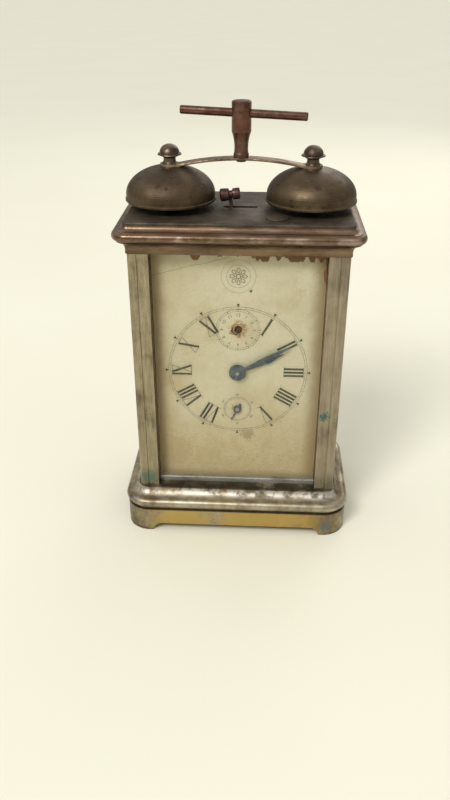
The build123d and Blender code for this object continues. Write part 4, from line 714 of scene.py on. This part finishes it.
def numeralStrokes(text, look):
    widths = {"I": look["gap"], "V": look["legs"] + look["besideV"], "X": look["legs"] + look["besideX"]}
    total = sum(widths[letter] for letter in text)
    heavy, light = [], []
    low, high = look["inner"], look["outer"]
    at = -total / 2
    for letter in text:
        wide = widths[letter]
        middle = at + wide / 2
        half = look["legs"] / 2
        if letter == "I":
            heavy.append(((middle, low), (middle, high), look["thick"]))
        elif letter == "V":
            heavy.append(((middle - half, high), (middle, low), look["thick"]))
            light.append(((middle + half, high), (middle, low), look["thin"]))
        else:
            heavy.append(((middle - half, high), (middle + half, low), look["thick"]))
            light.append(((middle + half, high), (middle - half, low), look["thin"]))
        at += wide
    for radius in (low, high):
        light.append(((-total / 2, radius), (total / 2, radius), look["serif"]))
    return heavy, light


def turnedStroke(stroke, clockDegrees):
    first, second, width = stroke
    turn = math.radians(clockDegrees)

    def spun(point):
        return (
            point[0] * math.cos(turn) + point[1] * math.sin(turn),
            -point[0] * math.sin(turn) + point[1] * math.cos(turn),
        )
    return strokeOf(spun(first), spun(second), width)


# The two small dials stand where VI and XII would be
hourTexts = {1: "I", 2: "II", 3: "III", 4: "IIII", 5: "V", 7: "VII", 8: "VIII", 9: "IX", 10: "X", 11: "XI"}
heavyStrokes, lightStrokes = [], []
for hour, text in hourTexts.items():
    heavy, light = numeralStrokes(text, numeralLook)
    heavyStrokes += [turnedStroke(stroke, hour * 30) for stroke in heavy]
    lightStrokes += [turnedStroke(stroke, hour * 30) for stroke in light]
printed("hour_numerals", heavyStrokes, "ink")
printed("hour_numeral_hairlines", lightStrokes, "faintInk")

trackLook = {
    "outer": 32.1, "inner": 31.1, "line": 0.18, "tick": 0.16, "steps": 180,
    "marker": 33.5, "markerTip": 0.2, "markerHalf": 1.3,
}
minuteTicks = [
    strokeOf(polar(trackLook["inner"], 6 * tick), polar(trackLook["outer"], 6 * tick), trackLook["tick"])
    for tick in range(60)
]
trackRings = ringOf((0, 0), trackLook["outer"], trackLook["line"], trackLook["steps"])
trackRings += ringOf((0, 0), trackLook["inner"], trackLook["line"], trackLook["steps"])
hourMarkers = [
    [
        polar(trackLook["outer"] - trackLook["markerTip"], 30 * hour),
        polar(trackLook["marker"], 30 * hour - trackLook["markerHalf"]),
        polar(trackLook["marker"], 30 * hour + trackLook["markerHalf"]),
    ]
    for hour in range(12)
]
printed("minute_track", trackRings + minuteTicks, "faintInk")
printed("hour_markers", hourMarkers, "ink")


# Two rings, ticks between them with every so many longer, and figures inside or outside them
def smallDial(ringName, figuresName, arbor, look):
    centre = ((arbor.x - dialCentre.x) / mm, (arbor.z - dialCentre.z) / mm)
    shapes = ringOf(centre, look["outer"], look["outerLine"], look["steps"])
    shapes += ringOf(centre, look["inner"], look["innerLine"], look["steps"])
    for tick in range(look["ticks"]):
        turn = 360 / look["ticks"] * tick
        width = look["longTick"] if tick % look["longEvery"] == 0 else look["tick"]
        shapes.append(strokeOf(polar(look["inner"], turn, centre), polar(look["outer"], turn, centre), width))
    printed(ringName, shapes, "faintInk")
    figures = []
    for figure in look["figures"]:
        turn = look["figureTurn"] * figure
        figures.append((str(figure), polar(look["figureRadius"], turn, centre), turn))
    printedDigits(figuresName, figures, look["figureSize"], "ink")


alarmLook = {
    "outer": 10.0, "inner": 9.0, "outerLine": 0.18, "innerLine": 0.12, "steps": 120,
    "ticks": 48, "tick": 0.12, "longTick": 0.4, "longEvery": 4,
    "figures": range(1, 13), "figureTurn": 30, "figureRadius": 7.3, "figureSize": 2.1,
}
secondsLook = {
    "outer": 6.5, "inner": 5.7, "outerLine": 0.14, "innerLine": 0.1, "steps": 96,
    "ticks": 60, "tick": 0.09, "longTick": 0.22, "longEvery": 5,
    "figures": range(10, 61, 10), "figureTurn": 6, "figureRadius": 7.7, "figureSize": 1.5,
}
smallDial("alarm_ring", "alarm_hours", alarmCentre, alarmLook)
smallDial("seconds_ring", "seconds_figures", secondsCentre, secondsLook)

rosetteLook = {
    "rise": 46.3, "outer": 7.6, "outerLine": 0.12, "inner": 5.2, "innerLine": 0.14, "steps": 96,
    "petals": 8, "petal": 3.9, "petalStart": 1.4, "spread": 15.0, "line": 0.26, "bends": 12,
    "eye": 1.0, "eyeLine": 0.3, "eyeSteps": 32,
}


def rosettePetals(look, centre):
    shapes = []
    for petal in range(look["petals"]):
        turn = petal * 360 / look["petals"]
        edge = []
        for step in range(look["bends"] + 1):
            share = step / look["bends"]
            spread = look["spread"] * math.sin(math.pi * share) ** 0.8
            edge.append((look["petalStart"] + (look["petal"] - look["petalStart"]) * share, spread))
        for (lowR, lowA), (highR, highA) in zip(edge, edge[1:]):
            for side in (-1, 1):
                first = polar(lowR, turn + side * lowA, centre)
                second = polar(highR, turn + side * highA, centre)
                shapes.append(strokeOf(first, second, look["line"]))
    return shapes


rosetteCentre = (0.0, rosetteLook["rise"])
circles = ringOf(rosetteCentre, rosetteLook["outer"], rosetteLook["outerLine"], rosetteLook["steps"])
circles += ringOf(rosetteCentre, rosetteLook["inner"], rosetteLook["innerLine"], rosetteLook["steps"])
rosetteEye = ringOf(rosetteCentre, rosetteLook["eye"], rosetteLook["eyeLine"], rosetteLook["eyeSteps"])
printed("ornament_circles", circles, "faintInk")
printed("ornament_rosette", rosettePetals(rosetteLook, rosetteCentre) + rosetteEye, "ink")
print("dial printed")

rng = random.Random(7)
# The crease is a thin dark line laid on the paper: painted shade along the fold.
creaseLook = {
    "route": [(-38.0, 46.4), (-30.0, 48.2), (-22.0, 50.4), (-13.0, 52.5), (-6.0, 54.4), (-1.5, 57.6)],
    "shares": (0.25, 0.5, 0.75, 1.0), "acrossWobble": 0.25, "upWobble": 0.2,
    "thin": 0.1, "thick": 0.26, "depth": 0.02,
}
creasePoints = [creaseLook["route"][0]]
for start, end in zip(creaseLook["route"], creaseLook["route"][1:]):
    for share in creaseLook["shares"]:
        across = start[0] + (end[0] - start[0]) * share
        up = start[1] + (end[1] - start[1]) * share
        across += rng.uniform(-creaseLook["acrossWobble"], creaseLook["acrossWobble"])
        up += rng.uniform(-creaseLook["upWobble"], creaseLook["upWobble"])
        creasePoints.append((across, up))
creaseShadeStrokes = []
for start, end in zip(creasePoints, creasePoints[1:]):
    startWidth = rng.uniform(creaseLook["thin"], creaseLook["thick"])
    endWidth = rng.uniform(creaseLook["thin"], creaseLook["thick"])
    creaseShadeStrokes.append(strokeOf(start, end, startWidth, endWidth))
printed("paper_crease_shade", creaseShadeStrokes, "faintInk", creaseLook["depth"])


# A ragged strip that hangs from the top, from first to last; deep is how far it can reach
def tornStrip(look, top):
    quads = []
    at, height = look["first"], look["deep"] * 0.5
    while at < look["last"]:
        following = min(at + rng.uniform(0.6, 1.4) * look["step"], look["last"])
        nextHeight = height + rng.uniform(-0.5, 0.5) * look["deep"]
        nextHeight = max(look["least"], min(look["deep"], nextHeight))
        quads.append([(at, top - height), (following, top - nextHeight), (following, top), (at, top)])
        at, height = following, nextHeight
    return quads


tornTop = {"first": -24.0, "last": 37.5, "deep": 4.6, "least": 0.25, "step": 0.8, "depth": 0.12}
tornSide = {"first": 24.0, "last": 37.0, "deep": 1.3, "least": 0.25, "step": 1.0, "depth": 0.1}
paperTop = (paperHigh.z - dialCentre.z) / mm
paperSide = (paperHigh.x - dialCentre.x) / mm
printed("torn_top_edge", tornStrip(tornTop, paperTop), "rust", tornTop["depth"])
sideStrip = [   # the same kind of strip, turned to hang from the right edge
    [(paperSide - (paperTop - v), u + paperTop - paperSide) for u, v in quad]
    for quad in tornStrip(tornSide, paperTop)
]
printed("torn_right_edge", sideStrip, "rust", tornSide["depth"])
print("age marks placed")

floorLook = {
    "half": 40.0, "squares": 8, "weave": 900.0, "folds": 6.0, "light": tone(232, 230, 212),
    "dark": tone(226, 222, 202), "roughness": 0.9, "bump": 0.1,
}
floorMesh = bpy.data.meshes.new("floor")
floorWork = bmesh.new()
bmesh.ops.create_grid(
    floorWork, x_segments=floorLook["squares"], y_segments=floorLook["squares"], size=floorLook["half"]
)
floorWork.to_mesh(floorMesh)
floorWork.free()
floor = bpy.data.objects.new("floor", floorMesh)
bpy.context.scene.collection.objects.link(floor)
floorMaterial, floorTree, floorShader, floorPlace = startMaterial("pale cloth")
weave = noiseOf(floorTree, floorPlace, floorLook["weave"], 3.0, 0.6)
softFolds = noiseOf(floorTree, floorPlace, floorLook["folds"], 3.0, 0.5)
cloth = mixOf(floorTree, softFolds, floorLook["light"], floorLook["dark"])
floorTree.links.new(cloth, floorShader.inputs["Base Color"])
floorShader.inputs["Roughness"].default_value = floorLook["roughness"]
bumpTo(floorTree, floorShader, weave, floorLook["bump"], 0.0002)
floorMesh.materials.append(floorMaterial)
print("floor laid")


clockMiddle = Vector((0.0, 0.0, 0.09))
lampLooks = {
    "key": {"place": (-0.45, -0.75, 0.85), "size": 0.3, "power": 3.6, "colour": (1.0, 0.98, 0.94)},
    "back": {"place": (0.3, 0.8, 0.6), "size": 0.6, "power": 1.4, "colour": (1.0, 0.98, 0.95)},
}
for name, look in lampLooks.items():
    lampData = bpy.data.lights.new(name, "AREA")
    lampData.shape = "DISK"
    lampData.size = look["size"]
    lampData.energy = look["power"]
    lampData.color = look["colour"]
    lamp = bpy.data.objects.new(name, lampData)
    lamp.location = look["place"]
    lamp.rotation_euler = (clockMiddle - Vector(look["place"])).to_track_quat("-Z", "Y").to_euler()
    bpy.context.scene.collection.objects.link(lamp)

windowLook = {"power": 1.1, "spread": 22, "tilt": 42, "turn": -28}
sunData = bpy.data.lights.new("window", "SUN")
sunData.energy = windowLook["power"]
sunData.angle = math.radians(windowLook["spread"])
sun = bpy.data.objects.new("window", sunData)
sun.rotation_euler = (math.radians(windowLook["tilt"]), 0.0, math.radians(windowLook["turn"]))
bpy.context.scene.collection.objects.link(sun)

skyLook = {"level": tone(150, 146, 136), "overhead": tone(252, 252, 250), "reach": 0.75, "strength": 0.85}
world = bpy.data.worlds.new("studio")
bpy.context.scene.world = world
world.use_nodes = True
sky = world.node_tree
skyUp = axesOf(sky, sky.nodes.new("ShaderNodeTexCoord").outputs["Generated"])[2]
skyColour = mixOf(sky, rangeOf(sky, skyUp, 0.0, skyLook["reach"]), skyLook["level"], skyLook["overhead"])
sky.links.new(skyColour, sky.nodes["Background"].inputs["Color"])
sky.nodes["Background"].inputs["Strength"].default_value = skyLook["strength"]
print("lights set")

cameraLook = {
    "place": (0.01106, -0.33734, 0.24667), "tilt": 60.72, "turn": 3.05, "lens": 34.65, "sensor": 36.0,
    "near": 0.01,
}
cameraData = bpy.data.cameras.new("camera")
cameraData.lens = cameraLook["lens"]
cameraData.sensor_width = cameraLook["sensor"]
cameraData.clip_start = cameraLook["near"]
camera = bpy.data.objects.new("camera", cameraData)
camera.location = cameraLook["place"]
camera.rotation_euler = (math.radians(cameraLook["tilt"]), 0.0, math.radians(cameraLook["turn"]))
bpy.context.scene.collection.objects.link(camera)
bpy.context.scene.camera = camera
bpy.context.scene.view_settings.view_transform = "Standard"

bpy.context.view_layer.update()
